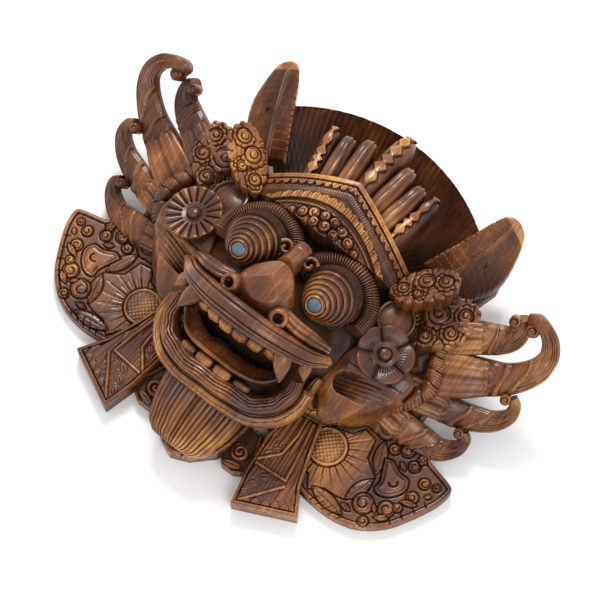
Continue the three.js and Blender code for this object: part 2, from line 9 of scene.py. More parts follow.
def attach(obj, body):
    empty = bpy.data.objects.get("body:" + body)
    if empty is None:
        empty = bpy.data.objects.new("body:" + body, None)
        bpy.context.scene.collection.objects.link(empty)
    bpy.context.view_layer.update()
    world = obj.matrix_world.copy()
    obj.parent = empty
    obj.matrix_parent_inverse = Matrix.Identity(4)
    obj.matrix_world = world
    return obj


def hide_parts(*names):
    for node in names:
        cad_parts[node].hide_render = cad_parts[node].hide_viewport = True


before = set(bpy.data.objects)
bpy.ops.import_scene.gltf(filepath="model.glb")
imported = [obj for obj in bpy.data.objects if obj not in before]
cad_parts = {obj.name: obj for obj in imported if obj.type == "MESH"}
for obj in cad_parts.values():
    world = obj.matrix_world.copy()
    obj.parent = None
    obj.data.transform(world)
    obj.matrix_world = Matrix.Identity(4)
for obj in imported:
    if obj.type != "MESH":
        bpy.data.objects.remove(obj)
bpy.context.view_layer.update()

# Sizes in millimetres, as a carver would measure them from the middle of the face.
TO_CENTRE = 5.608          # the middle of the face stands this far above the middle of the box
UP = np.array([0.0, 0.0, 1.0])
HALF_WIDTH, HALF_HEIGHT, DEPTH = 195.2, 150.5, 136.7
EYE = np.array([35.0, -7.0, 96.0])
EYE_TILT = math.radians(39)
EYE_RADIUS = 21.0
PUPIL = 5.4
EYE_RINGS = 5
ROUNDEL = np.array([91.0, -8.0, 76.0])
ROUNDEL_RADIUS = 22.5
ROUNDEL_TILT = math.radians(12)
CRESCENT = np.array([79.5, 20.5, 67.0])
PLUME_THICKNESS = 13.0
MEDALLION = (90, -75)      # middle of the round medallion on an ear flap
FLAP_FRONT = 13.0
RIBBON_FRONT = 19.0
WING_NORMAL = np.array([0.2, -0.6, 1.0]) / math.sqrt(0.04 + 0.36 + 1.0)


# ---- measuring helpers ----
def through(points, share):
    """Smooth line through points, read at shares from 0 to 1."""
    pts = np.asarray(points, float)
    pad = np.vstack([2 * pts[0] - pts[1], pts, 2 * pts[-1] - pts[-2]])
    place = np.clip(share, 0, 1) * (len(pts) - 1)
    i = np.minimum(place.astype(int), len(pts) - 2)
    f = (place - i)[:, None]
    a, b, c, d = pad[i], pad[i + 1], pad[i + 2], pad[i + 3]
    return 0.5 * (2 * b + (c - a) * f + (2 * a - 5 * b + 4 * c - d) * f**2 + (3 * b - a - 3 * c + d) * f**3)


def unit(v):
    return v / np.maximum(np.linalg.norm(v, axis=-1, keepdims=True), 1e-9)


def smooth(low, high, x):
    t = np.clip((x - low) / (high - low), 0, 1)
    return t * t * (3 - 2 * t)


def bell(offset, width):
    """Soft bump: 1 where the offset is 0, nearly 0 at twice the width."""
    return np.exp(-((offset / width) ** 2))


def waves(phase, power=1):
    """Row of crests of height 1 with valleys of height 0 between them."""
    return np.abs(np.sin(phase)) ** power


def level(z):
    """The same height for each place in plan."""
    return lambda x, y: z + 0 * x


def mound(distance, reach):
    """Round ridge: 1 on its crest, 0 at its reach."""
    return np.sqrt(np.clip(1 - (distance / reach) ** 2, 0, 1))


def looped(points):
    """The points of an outline with the first one again at the end."""
    return np.vstack([points, points[:1]])


def smooth_outline(points, count):
    return through(looped(np.asarray(points, float)), np.linspace(0, 1, count)[:-1])


def line_distance(x, y, line):
    """Distance to an open line, and how far along it the nearest point lies."""
    line = np.asarray(line, float)
    best = np.full(x.shape, 1e9)
    along = np.zeros(x.shape)
    runs = np.hypot(*np.diff(line, axis=0).T)
    start = np.concatenate([[0], np.cumsum(runs)])
    for (ax, ay), (bx, by), run, before in zip(line[:-1], line[1:], runs, start):
        t = np.clip(((x - ax) * (bx - ax) + (y - ay) * (by - ay)) / max(run * run, 1e-9), 0, 1)
        d = np.hypot(x - ax - t * (bx - ax), y - ay - t * (by - ay))
        nearer = d < best
        best = np.where(nearer, d, best)
        along = np.where(nearer, before + t * run, along)
    return best, along / start[-1]


def edge_distance(x, y, outline):
    """Distance to a closed outline, above zero inside it."""
    ring = looped(outline)
    d, _ = line_distance(x, y, ring)
    inside = np.zeros(x.shape, bool)
    for (ax, ay), (bx, by) in zip(ring[:-1], ring[1:]):
        crosses = (ay > y) != (by > y)
        reach = (bx - ax) * (y - ay) / np.where(by == ay, 1e-9, by - ay) + ax
        inside ^= crosses & (x < reach)
    return np.where(inside, d, -d)


def coil_line(cx, cy, radius, turns=1.7, start=0.0, hand=1):
    t = np.linspace(0, 1, 40)
    angle = start + hand * t * turns * 2 * math.pi
    reach = radius * (1 - 0.86 * t)
    return np.column_stack([cx + reach * np.cos(angle), cy + reach * np.sin(angle)])


def wing_front(x, y):
    return 15 + 0.6 * (y + 35) - 0.2 * (x - 160)


# ---- making helpers ----
def blank():
    """An empty form, whose points can note the darkening of a recess (dark stain in the cuts, and painted
    shade in places) and the wear on a crest.
    """
    bm = bmesh.new()
    for name in ("recess", "worn"):
        bm.verts.layers.float.new(name)
    return bm


def drop_loose_points(bm):
    bmesh.ops.delete(bm, geom=[v for v in bm.verts if not v.link_faces], context="VERTS")


def placed(name, data):
    """A new object, linked to the scene."""
    made = bpy.data.objects.new(name, data)
    bpy.context.scene.collection.objects.link(made)
    return made


def sheet(along, around):
    """A flat grid and the two shares, 0 to 1, of each of its points."""
    bm = blank()
    bmesh.ops.create_grid(bm, x_segments=along, y_segments=around, size=1)
    at = np.array([v.co[:2] for v in bm.verts])
    return bm, (at[:, 0] + 1) / 2, (at[:, 1] + 1) / 2


def settle(bm, points, recess=0.0, worn=0.0):
    """Moves the points of a form, given in millimetres, and notes its darkening (stain, and painted shade in
    places) and wear.
    """
    dark, bare = bm.verts.layers.float["recess"], bm.verts.layers.float["worn"]
    recess = np.broadcast_to(recess, (len(points),))
    worn = np.broadcast_to(worn, (len(points),))
    for vert, point, r, w in zip(bm.verts, points.tolist(), recess.tolist(), worn.tolist()):
        vert.co = point
        vert[dark] = r
        vert[bare] = w


def closed(bm, near=0.02):
    bmesh.ops.remove_doubles(bm, verts=bm.verts, dist=near)
    bmesh.ops.recalc_face_normals(bm, faces=bm.faces)
    return bm


def rope(stations, along=48, around=24, front=UP, relief=None, boxy=0.0, worn=0.0):
    """A closed form swept along stations [x, y, z, half width, half depth].

    relief takes the share along, the angle round and the side position. It gives height, recess
    and, if it likes, wear.
    """
    bm, u, v = sheet(along + 2, around)
    ring = np.round(u * (along + 2)).astype(int)
    share = np.clip((ring - 1) / along, 0, 1)
    angle = v * 2 * math.pi
    stations = np.asarray(stations, float)
    spine = stations[:, :3]
    centre = through(spine, share)
    ahead = through(spine, share + 0.004) - through(spine, share - 0.004)
    at_end = (share > 0.996)[:, None] * (centre - through(spine, share - 0.02))
    heading = unit(ahead + at_end)
    size = np.maximum(through(stations[:, 3:5], share), 0.2)
    side = unit(np.cross(heading, front))
    lift = unit(np.cross(side, heading))
    c, s = np.cos(angle), np.sin(angle)
    c2 = np.sign(c) * np.abs(c) ** (1 - 0.6 * boxy)
    s2 = np.sign(s) * np.abs(s) ** (1 - 0.6 * boxy)
    height, recess, *bare = relief(share, angle, c2) if relief else (0.0, 0.0)
    out = unit(np.column_stack([c2 / size[:, 0], s2 / size[:, 1]]))
    wide = c2 * size[:, 0] + out[:, 0] * height
    deep = s2 * size[:, 1] + out[:, 1] * height
    inner = ((ring > 0) & (ring < along + 2)).astype(float)
    points = centre + side * (wide * inner)[:, None] + lift * (deep * inner)[:, None]
    settle(bm, points, recess, bare[0] if bare else worn)
    return closed(bm)


def board(outline, back, front, relief, step=0.8, edge=1.6):
    """A plate cut to an outline, its front carved. back and front give heights for a place in plan."""
    outline = np.asarray(outline, float)
    low, high = outline.min(0), outline.max(0)
    counts = np.maximum(((high - low) / step).astype(int), 4)
    bm, u, v = sheet(int(counts[0]), int(counts[1]))
    x, y = low[0] + u * (high[0] - low[0]), low[1] + v * (high[1] - low[1])
    depth = edge_distance(x, y, outline)
    settle(bm, np.column_stack([x, y, np.zeros_like(x)]))
    bm.verts.ensure_lookup_table()
    bmesh.ops.delete(bm, geom=[bm.verts[i] for i in np.flatnonzero(depth < -0.35 * step)], context="VERTS")
    drop_loose_points(bm)
    ring = looped(outline)
    for vert in [w for w in bm.verts if w.is_boundary]:
        p = np.array(vert.co[:2])
        a, b = ring[:-1], ring[1:]
        t = np.clip(((p - a) * (b - a)).sum(1) / np.maximum(((b - a) ** 2).sum(1), 1e-9), 0, 1)
        spots = a + t[:, None] * (b - a)
        best = spots[np.argmin(((spots - p) ** 2).sum(1))]
        vert.co.x, vert.co.y = best
    at = np.array([w.co[:2] for w in bm.verts])
    x, y = at[:, 0], at[:, 1]
    depth = np.maximum(edge_distance(x, y, outline), 0)
    height, recess, worn = relief(x, y, depth)
    height = height - edge * 0.7 * np.clip(1 - depth / edge, 0, 1) ** 2
    settle(bm, np.column_stack([x, y, front(x, y) + height]), recess, worn)
    rim = [e for e in bm.edges if e.is_boundary]
    wall = bmesh.ops.extrude_edge_only(bm, edges=rim)["geom"]
    dark, bare = bm.verts.layers.float["recess"], bm.verts.layers.float["worn"]
    for w in [g for g in wall if isinstance(g, bmesh.types.BMVert)]:
        w.co.z = float(back(np.array([w.co.x]), np.array([w.co.y]))[0])
        w[dark], w[bare] = 0.25, 0.0
    bmesh.ops.edgeloop_fill(bm, edges=[e for e in bm.edges if e.is_boundary])
    return closed(bm, 0.001)


def turned(profile, steps, place, lean_x=0.0, lean_y=0.0, shape=None, recess=None):
    """A form spun from [radius, height] points, leaned over and stood in its place."""
    bm = blank()
    verts = [bm.verts.new((r, 0, h)) for r, h in profile]
    edges = [bm.edges.new(pair) for pair in zip(verts[:-1], verts[1:])]
    bmesh.ops.spin(bm, geom=verts + edges, cent=(0, 0, 0), axis=(0, 0, 1), angle=2 * math.pi, steps=steps,
                   use_merge=True)
    closed(bm, 0.01)
    points = np.array([v.co[:] for v in bm.verts])
    dark = recess(points) if recess else 0.0
    if shape:
        points, dark = shape(points)
    lean = Matrix.Rotation(lean_y, 4, "Y") @ Matrix.Rotation(lean_x, 4, "X")
    points = points @ np.array(lean.to_3x3()).T + np.asarray(place)
    settle(bm, points, dark)
    return bm


class Carving:
    """One piece of the model, gathered from closed forms."""

    def __init__(self, name, node, slot, finish):
        self.name, self.node, self.slot, self.finish = name, node, slot, finish
        self.whole = blank()

    def add(self, form, side=1):
        if side < 0:
            bmesh.ops.scale(form, vec=(-1, 1, 1), verts=form.verts)
            bmesh.ops.recalc_face_normals(form, faces=form.faces)
        held = bpy.data.meshes.new("held")
        form.to_mesh(held)
        form.free()
        self.whole.from_mesh(held)
        bpy.data.meshes.remove(held)

    def finished(self):
        for v in self.whole.verts:
            v.co.x = min(max(v.co.x, -HALF_WIDTH), HALF_WIDTH) / 1000
            v.co.y = min(max(v.co.y + TO_CENTRE, -HALF_HEIGHT), HALF_HEIGHT) / 1000
            v.co.z = min(max(v.co.z, 0.02), DEPTH) / 1000
        for f in self.whole.faces:
            f.smooth = True
        mesh = bpy.data.meshes.new(self.name)
        self.whole.to_mesh(mesh)
        self.whole.free()
        mesh.set_sharp_from_angle(angle=math.radians(50))
        mesh.materials.append(self.finish)
        piece = placed(self.name, mesh)
        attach(piece, "root")
        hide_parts(self.node)
        print(self.name, sum(len(p.vertices) - 2 for p in mesh.polygons), "triangles")


# ---- finishes ----
class Signal:
    """A number that changes over the surface, written as a plain expression."""

    def __init__(self, tree, socket):
        self.tree, self.socket = tree, socket

    def math(self, operation, *others, clamp=False):
        node = self.tree.nodes.new("ShaderNodeMath")
        node.operation, node.use_clamp = operation, clamp
        for socket, value in zip(node.inputs, (self, *others)):
            if isinstance(value, Signal):
                self.tree.links.new(value.socket, socket)
            else:
                socket.default_value = value
        return Signal(self.tree, node.outputs[0])

    def __add__(self, other): return self.math("ADD", other)
    def __mul__(self, other): return self.math("MULTIPLY", other)
    def __sub__(self, other): return self.math("SUBTRACT", other)
    def __radd__(self, other): return self.math("ADD", other)
    def __rmul__(self, other): return self.math("MULTIPLY", other)
    def __rsub__(self, other): return self.math("MULTIPLY", -1).math("ADD", other)
    def between(self, low, high): return ((self - low) * (1 / (high - low))).math("ADD", 0.0, clamp=True)


class Finish:
    """A named material and the nodes that make it."""

    def __init__(self, name):
        self.material = bpy.data.materials.new(name)
        self.material.use_nodes = True
        self.tree = self.material.node_tree
        self.shader = self.tree.nodes["Principled BSDF"]

    def node(self, kind, settings=None, **values):
        made = self.tree.nodes.new(kind)
        for key, value in (settings or {}).items():
            if key == "stops":
                ramp = made.color_ramp
                while len(ramp.elements) < len(value):
                    ramp.elements.new(0.5)
                for element, (place, colour) in zip(ramp.elements, value):
                    element.position, element.color = place, (*colour, 1)
            else:
                setattr(made, key, value)
        for key, value in values.items():
            self.feed(made.inputs[key.replace("_", " ")], value)
        return made

    def feed(self, socket, value):
        if isinstance(value, Signal):
            value = value.socket
        if isinstance(value, bpy.types.NodeSocket):
            self.tree.links.new(value, socket)
        else:
            socket.default_value = value

    def signal(self, socket):
        return Signal(self.tree, socket)

    def mixed(self, factor, a, b):
        made = self.node("ShaderNodeMix", {"data_type": "RGBA", "clamp_factor": True})
        for index, value in ((0, factor), (6, a), (7, b)):
            self.feed(made.inputs[index], value)
        return made.outputs[2]


def carved_wood():
    """Oiled brown hardwood, stained nearly black in the cuts and rubbed golden on the crests, with painted
    shade from ambient occlusion darkening the hollows and the gaps between parts.
    """
    f = Finish("oiled_carved_wood")
    place = f.node("ShaderNodeTexCoord").outputs["Object"]

    def noise(scale, **values):
        spread = f.node("ShaderNodeMapping", Vector=place, Scale=scale).outputs[0]
        return f.signal(f.node("ShaderNodeTexNoise", Vector=spread, Scale=1.0, **values).outputs["Fac"])

    def noted(name):
        return f.signal(f.node("ShaderNodeAttribute", {"attribute_name": name}).outputs["Fac"])

    grain = noise((520, 34, 110), Detail=6.0, Roughness=0.62, Distortion=0.25)
    cloud = noise((26, 16, 20), Detail=3.0, Roughness=0.5)
    pores = noise((1500, 160, 1100), Detail=2.0)
    recess, worn = noted("recess"), noted("worn")
    # Ambient occlusion: painted shade in the hollows and between the parts, standing in partly for the dark
    # patina there.
    open_sky = f.signal(f.node("ShaderNodeAmbientOcclusion", {"samples": 10}, Distance=0.012).outputs["AO"])
    crest = f.signal(f.node("ShaderNodeNewGeometry").outputs["Pointiness"]).between(0.5, 0.56)
    tone = (grain - 0.5) * 0.6 + (cloud - 0.5) * 1.15 + 0.47 + worn * 0.32 + crest * 0.14
    wood = f.node("ShaderNodeValToRGB", {"stops": [
        (0.15, (0.02, 0.005, 0.0022)), (0.34, (0.052, 0.013, 0.0036)), (0.50, (0.105, 0.0285, 0.0062)),
        (0.68, (0.235, 0.078, 0.0135)), (0.93, (0.56, 0.26, 0.055))]}, Fac=tone).outputs["Color"]
    # Darkening mixed in: painted shade from the occlusion, plus the recess attribute (dark stain in the cuts,
    # and painted shade in places).
    stain_and_shade = (1 - open_sky.between(0.2, 0.9)) * 0.86 + recess * 0.62
    stained_and_shaded = f.mixed(stain_and_shade.math("MINIMUM", 0.95), wood, (0.015, 0.0055, 0.003, 1))
    f.feed(f.shader.inputs["Base Color"], stained_and_shaded)
    f.feed(f.shader.inputs["Roughness"], (0.27 + pores * 0.16 + recess * 0.4))
    f.shader.inputs["Specular IOR Level"].default_value = 0.3
    # The coat thins where the stain and painted shade are deep.
    f.feed(f.shader.inputs["Coat Weight"], (1 - stain_and_shade.math("MINIMUM", 1.0)) * 0.55)
    f.shader.inputs["Coat Roughness"].default_value = 0.22
    bump = f.node("ShaderNodeBump", Strength=0.4, Distance=0.0006, Height=grain * 0.6 + pores * 0.5)
    f.feed(f.shader.inputs["Normal"], bump.outputs[0])
    return f.material


def pupil_stone():
    """Polished blue-grey disc, mottled by noise."""
    f = Finish("blue_grey_inlay")
    place = f.node("ShaderNodeTexCoord").outputs["Object"]
    cloud = f.signal(f.node("ShaderNodeTexNoise", Vector=place, Scale=260.0, Detail=3.0).outputs["Fac"])
    body = f.mixed(cloud, (0.035, 0.06, 0.085, 1), (0.13, 0.19, 0.235, 1))
    f.feed(f.shader.inputs["Base Color"], body)
    f.feed(f.shader.inputs["Roughness"], 0.12 + cloud * 0.12)
    f.shader.inputs["Coat Weight"].default_value = 0.4
    return f.material


# ---- carved patterns in plan ----
class Pattern:
    """Low relief gathered in plan: height in millimetres, stain in the cuts and wear on the crests."""

    def __init__(self, x, y, ground=-1.8):
        self.x, self.y = x, y
        self.height = np.full(x.shape, float(ground))
        self.ground = ground

    def raise_to(self, amount, crest):
        """Lifts where amount is above zero, up to crest."""
        lifted = self.ground + (crest - self.ground) * amount
        self.height = np.maximum(self.height, np.where(amount > 0, lifted, self.ground))

    def cut(self, amount, depth):
        self.height = self.height - depth * amount

    def ridge(self, line, half, crest=1.0):
        d, _ = line_distance(self.x, self.y, line)
        self.raise_to(mound(d, half), crest)

    def groove(self, line, half, depth=1.2):
        d, _ = line_distance(self.x, self.y, line)
        self.cut(np.clip(1 - d / half, 0, 1), depth)

    def disc(self, cx, cy, radius, crest=1.0, softness=0.35):
        d = np.hypot(self.x - cx, self.y - cy)
        self.raise_to(np.clip((radius - d) / (radius * softness), 0, 1) ** 0.5, crest)

    def scroll(self, cx, cy, radius, start=0.0, hand=1, crest=1.4):
        """A raised disc cut by a spiral, with a bead in its middle."""
        self.disc(cx, cy, radius, crest, 0.3)
        self.groove(coil_line(cx, cy, radius * 0.86, 1.5, start, hand), radius * 0.14, 2.2)
        d = np.hypot(self.x - cx, self.y - cy)
        self.cut(np.clip(1 - np.abs(d - radius * 1.06) / (radius * 0.16), 0, 1), 1.0)

    def along(self, base, tip):
        """Share of the way from base to tip, distance beside that line, and its length."""
        (bx, by), (tx, ty) = base, tip
        run = math.hypot(tx - bx, ty - by)
        ex, ey = (tx - bx) / run, (ty - by) / run
        s = ((self.x - bx) * ex + (self.y - by) * ey) / run
        return s, -(self.x - bx) * ey + (self.y - by) * ex, run

    def leaf(self, base, tip, half, crest=1.2):
        """A smooth pointed leaf with a vein."""
        s, t, _ = self.along(base, tip)
        width = half * np.sin(np.clip(s, 0, 1) * math.pi) ** 0.6
        body = np.where((s > 0) & (s < 1), np.clip(1 - np.abs(t) / np.maximum(width, 1e-3), 0, 1), 0)
        self.raise_to(np.clip(body * 2.4, 0, 1) ** 0.6, crest)
        vein = np.clip(1 - np.abs(t) / 0.7, 0, 1) * (body > 0)
        self.cut(vein, 0.9)

    def inlay(self, inside, crest=1.0, soft=2.2, line=1.3):
        """A raised field, outlined by a cut; inside is the distance from its edge."""
        self.height = np.where(inside > 0, crest * smooth(0, soft, inside) - 0.2, self.height)
        self.cut(bell(inside, 0.6), line)

    def volute(self, cx, cy, radius, start=0.0, hand=1):
        """A plump disc with an outlined rim, cut by a spiral to its bead."""
        d = np.hypot(self.x - cx, self.y - cy)
        self.inlay(radius - d, 0.9, radius * 0.35, 1.3)
        self.groove(coil_line(cx, cy, radius * 0.78, 1.15, start, hand), max(0.55, radius * 0.12), 1.7)
        bead = 0.2 + 1.1 * mound(d, radius * 0.26)
        self.height = np.maximum(self.height, np.where(d < radius * 0.24, bead, -9))

    def fan(self, cx, cy, radius, start=0.0, hand=1, petals=9):
        """A curl with rounded petals, longest on the side away from its opening."""
        dx, dy = self.x - cx, self.y - cy
        d, a = np.hypot(dx, dy), np.arctan2(dy, dx)
        petal = np.abs(np.cos((a - start) * petals / 2))
        spread = 0.6 + 0.4 * smooth(0.6, 0.1, np.cos(a - start))
        reach = radius * (0.86 + 0.14 * petal**0.6) * spread
        self.inlay(reach - d, 0.4, 1.4, 1.2)
        beyond = smooth(radius * 0.6, radius * 0.68, d) * (d < reach)
        self.cut(bell(d * petal, 0.08 * petals) * beyond, 0.8)
        self.volute(cx, cy, radius * 0.62, start, hand)

    def vesica(self, base, tip, half, crest=0.8):
        """An oval leaf with pointed ends, a raised rim and a vein."""
        s, t, run = self.along(base, tip)
        beyond = -np.hypot(np.maximum(np.abs(s - 0.5) - 0.5, 0) * run, t)
        inside = np.where((s > 0) & (s < 1), half * 4 * s * (1 - s) - np.abs(t), beyond)
        self.inlay(inside, crest, 1.6, 1.2)
        self.cut(bell(t, 0.5) * (inside > 1), 0.8)
        self.cut(bell(inside - 1.9, 0.4) * (half > 4), 0.5)

    def blossom(self, cx, cy, radius, petals=5):
        """A flat flower with a ringed middle."""
        d, a = np.hypot(self.x - cx, self.y - cy), np.arctan2(self.y - cy, self.x - cx)
        reach = radius * (0.75 + 0.25 * np.abs(np.cos(a * petals / 2)))
        self.inlay(reach - d, 0.9, 1.4, 1.3)
        self.cut(bell(d - radius * 0.36, 0.5), 1.0)

    def result(self, worn_above=0.7):
        recess = np.clip((-0.5 - self.height) / 1.7, 0, 1)
        worn = np.clip((self.height - worn_above) / 1.2, 0, 1) * 0.5
        return self.height, recess, worn


def dull(x, y, depth):
    return 0 * x, 0.35 + 0 * x, 0 * x


# ---- plumes and wings ----
# Each station of a plume is [x, y, half width, rise above the wing].
PLUMES = [
    [[114, 34, 15, -1], [134, 48, 13, -2], [148, 56.5, 11.5, -3], [156, 63, 9.5, -1],
     [158, 69.5, 7, 5], [154, 73, 5, 8]],
    [[122, 12, 19, 0], [141, 22, 17.5, 0], [156, 31.5, 14.5, -2], [168, 38, 12.5, 0],
     [178, 45, 11, 6], [185.5, 53, 9.5, 14], [187.5, 60.5, 7.8, 22], [183, 67.5, 6.5, 27],
     [175, 72, 5.4, 27], [167.5, 74.5, 5, 24], [162, 75.5, 4.2, 17]],
    [[106, -10, 12, 0], [122, -6, 13, 0], [136, -3, 12, -1], [152, 1, 11, -3], [166, 6, 10, -3],
     [178, 12, 8.2, -2], [186, 20, 6, 1], [186, 27.5, 4.6, 3], [181, 30.5, 3.8, 4]],
    [[103, -28, 10, 2], [118, -28, 12, 0], [131, -28.5, 11.5, -1], [145, -27, 10.5, -3], [157, -25, 9, -4],
     [167.5, -18, 6.3, -1], [170, -11, 4.6, 3], [166, -7.5, 3.8, 3]],
]
# The curled end of a plume: [x, y, rise above the wing, radius].
KNOBS = [[151.7, 69, 9, 4.6], [167.2, 68.5, 20, 5.2], [177.6, 26.7, 6, 4.3], [163.5, -9.3, 3, 4.2]]


def plume(stations, stalk, collar):
    """Stalk of rounded ridges with petal ends, two S-shaped bands, then a lined blade."""
    lifted = [[x, y, wing_front(x, y) - PLUME_THICKNESS / 2 + rise, w, PLUME_THICKNESS / 2 - 0.4]
              for x, y, w, rise in stations]

    def relief(u, angle, c):
        face = smooth(0.15, 0.5, np.sin(angle))
        bend = u + 0.045 * c + 0.012 * np.sin(c * 3)
        petal = stalk - 0.014 * (1 - np.cos(c * 6 * math.pi)) + 0.02 * c * c
        on_stalk = smooth(petal + 0.005, petal - 0.005, u)
        ridges = waves(c * 3 * math.pi, 0.6)
        stalk_height = 0.5 - 1.3 * (1 - ridges)
        lip = mound(u - petal, 0.012)
        band1 = mound(bend - collar, 0.02)
        band2 = mound(bend + 0.06 * c - (collar + 0.125), 0.017)
        blade = smooth(collar + 0.13, collar + 0.15, bend + 0.06 * c)
        lines = 0.5 + 0.5 * np.cos(c * 4.5 * 2 * math.pi + 6 * u)
        fade = smooth(0.97, 0.7, u)
        rim = smooth(0.62, 0.95, np.abs(c))
        plain_height = -0.9 + 0.5 * np.cos(c * 1.4)
        blade_height = -0.8 - 0.7 * lines**5 * fade + 0.7 * rim
        beyond = plain_height * (1 - blade) + blade * blade_height
        height = on_stalk * stalk_height + (1 - on_stalk) * beyond
        height = height + 0.7 * lip * on_stalk + 1.5 * band1 * (1 - on_stalk) + 1.3 * band2
        beside = bell(bend - collar + 0.028, 0.009) + bell(bend + 0.06 * c - collar - 0.1, 0.008)
        under = bell(u - petal - 0.016, 0.013)
        recess = (on_stalk * (1 - ridges) ** 3 * 0.9 + blade * lines**8 * 0.4 * fade
                  + 0.55 * beside + 0.8 * under)
        # Painted shade: the sides and back of the plume are darkened.
        shaded = 0.4 * (1 - smooth(-0.2, 0.5, np.sin(angle)))
        return height * face, np.clip(recess * face + shaded, 0, 1)

    return rope(lifted, along=16 * len(stations), around=84, front=WING_NORMAL, relief=relief, boxy=0.62,
                worn=0.12)


def curl_knob(x, y, rise, radius):
    """Rounded end of a plume, cut by a short spiral."""
    def spiral(points):
        r, a = np.hypot(points[:, 0], points[:, 1]), np.arctan2(points[:, 1], points[:, 0])
        turn = (r / radius * 1.5 - a / (2 * math.pi)) % 1.0
        cut = bell(turn - 0.5, 0.16) * (points[:, 2] > 1) * smooth(0.2, 0.35, r / radius)
        z = points[:, 2] - 1.1 * cut
        return np.column_stack([points[:, 0], points[:, 1], z]), 0.7 * cut

    profile = [[0, -6], [radius - 1, -6], [radius, -4.5], [radius, 3.6], [radius - 0.5, 5.2]]
    profile += [[radius * s, 5.2 + 1.2 * math.sqrt(1 - s * s)] for s in np.linspace(0.85, 0, 12)]
    z = float(wing_front(x, y)) - PLUME_THICKNESS / 2 + rise + 0.4
    return turned(profile, 48, (x, y, z), 0.54, 0.17, shape=spiral)


def wing_root():
    """Scaled plate under the feet of the plumes."""
    outline = [[92, -44], [128, -42], [136, -18], [137, 8], [142, 26], [138, 42], [124, 58], [92, 58]]

    def relief(x, y, depth):
        shell = waves((y + 42) * math.pi / 10)
        row = 0.5 + 0.5 * np.cos((x + 4 * shell) * 2 * math.pi / 9)
        return -1.4 * row**3, 0.35 + 0.4 * row**3, 0 * x

    return board(outline, lambda x, y: wing_front(x, y) - 17, lambda x, y: wing_front(x, y) - 8, relief, 1.0)


def scale_band():
    """Curved row of plump scales across the feet of the plumes."""
    spine = [[109, -26, 33], [120, -16, 41], [127, -3, 48], [125.5, 8, 53], [121, 18, 57], [116, 28, 60],
             [110, 38, 62]]
    stations = [[x, y, z - 5, 7, 7] for x, y, z in spine]

    def relief(u, angle, c):
        scale = waves(u * 7 * math.pi + 0.5 * c, 0.5)
        hatch = waves((u * 7 + 0.16 * c) * 5 * math.pi, 0.7)
        face = smooth(-0.1, 0.4, np.sin(angle))
        inner = smooth(0.25, -0.2, -c)
        height = (-1.8 * (1 - scale) - 0.8 * (1 - hatch) * inner) * face
        return height, np.clip(0.9 * (1 - scale) ** 2 + 0.7 * (1 - hatch) ** 2 * inner, 0, 1)

    return rope(stations, along=170, around=48, front=WING_NORMAL, relief=relief)


def lobed(points, lobes, swell):
    """Outline with its round stretches smoothed and its rim swelling in small lobes."""
    ring = looped(points)
    share = np.linspace(0, 1, 160)[:-1]
    line = through(ring, share)
    ahead = through(ring, share + 0.003) - through(ring, share - 0.003)
    out = unit(np.column_stack([ahead[:, 1], -ahead[:, 0]]))
    centre = line.mean(0)
    out *= np.sign(((line - centre) * out).sum(1, keepdims=True))
    return line + out * (swell * waves(share * lobes * math.pi))[:, None]


def crest_panel(points, lobes, curls, back, front, step, golden):
    """Cockscomb: a lobed rim notched towards its middle, filled with petalled curls."""
    rim = lobed(points, lobes, 1.5)
    ring = looped(rim)

    def relief(x, y, depth):
        _, along = line_distance(x, y, ring)
        p = Pattern(x, y, -0.2)
        wave = waves(along * lobes * math.pi)
        p.cut(bell(wave, 0.2) * smooth(4.6, 3.4, depth), 1.3)
        p.height = np.where(depth > 4.4, p.height - 0.5 - 0.25 * np.cos(depth * 1.9), p.height)
        for curl in curls:
            p.fan(*curl)
        h, recess, worn = p.result(0.4)
        shine = golden * smooth(0.6, 0.0, recess) * smooth(0.3, 1.2, depth)
        return h, recess * 0.9, np.clip(worn + shine, 0, 1)

    return board(rim, back, front, relief, step)


def outer_panel():
    """Large panel of curls behind the crescent and the roundel."""
    points = [[80, 22], [84, 46], [98, 58], [114, 64], [126, 61], [129, 47], [124, 30], [108, 18], [94, 12]]
    curls = ((88, 34, 8.5, 2.6, -1), (104, 23, 9, 3.2, -1), (119, 53, 9, 0, 1), (118, 36, 9, 2, -1),
             (102, 43, 13, 0.4, 1))

    def front(x, y):
        return 70 + 0.12 * (y - 40) - 7 * smooth(24, 16, np.hypot(x - CRESCENT[0], y - CRESCENT[1]))

    return crest_panel(points, 17, curls, level(34), front, 0.5, 0.1)


def tongue():
    """Smaller golden panel between the face and the outer panel."""
    points = [[62, 34], [67, 50], [79, 63], [95, 69], [103, 63], [102, 49], [91, 38], [76, 30]]
    curls = ((70, 40, 7.5, 2.2, -1), (83, 41, 6.5, 4, 1), (95, 59, 9, 1.2, 1), (82, 53, 10, 0.4, 1))
    return crest_panel(points, 16, curls, lambda x, y: 48 + 0.5 * (x - 76),
                       lambda x, y: 82 + 0.55 * (x - 76), 0.48, 0.4)


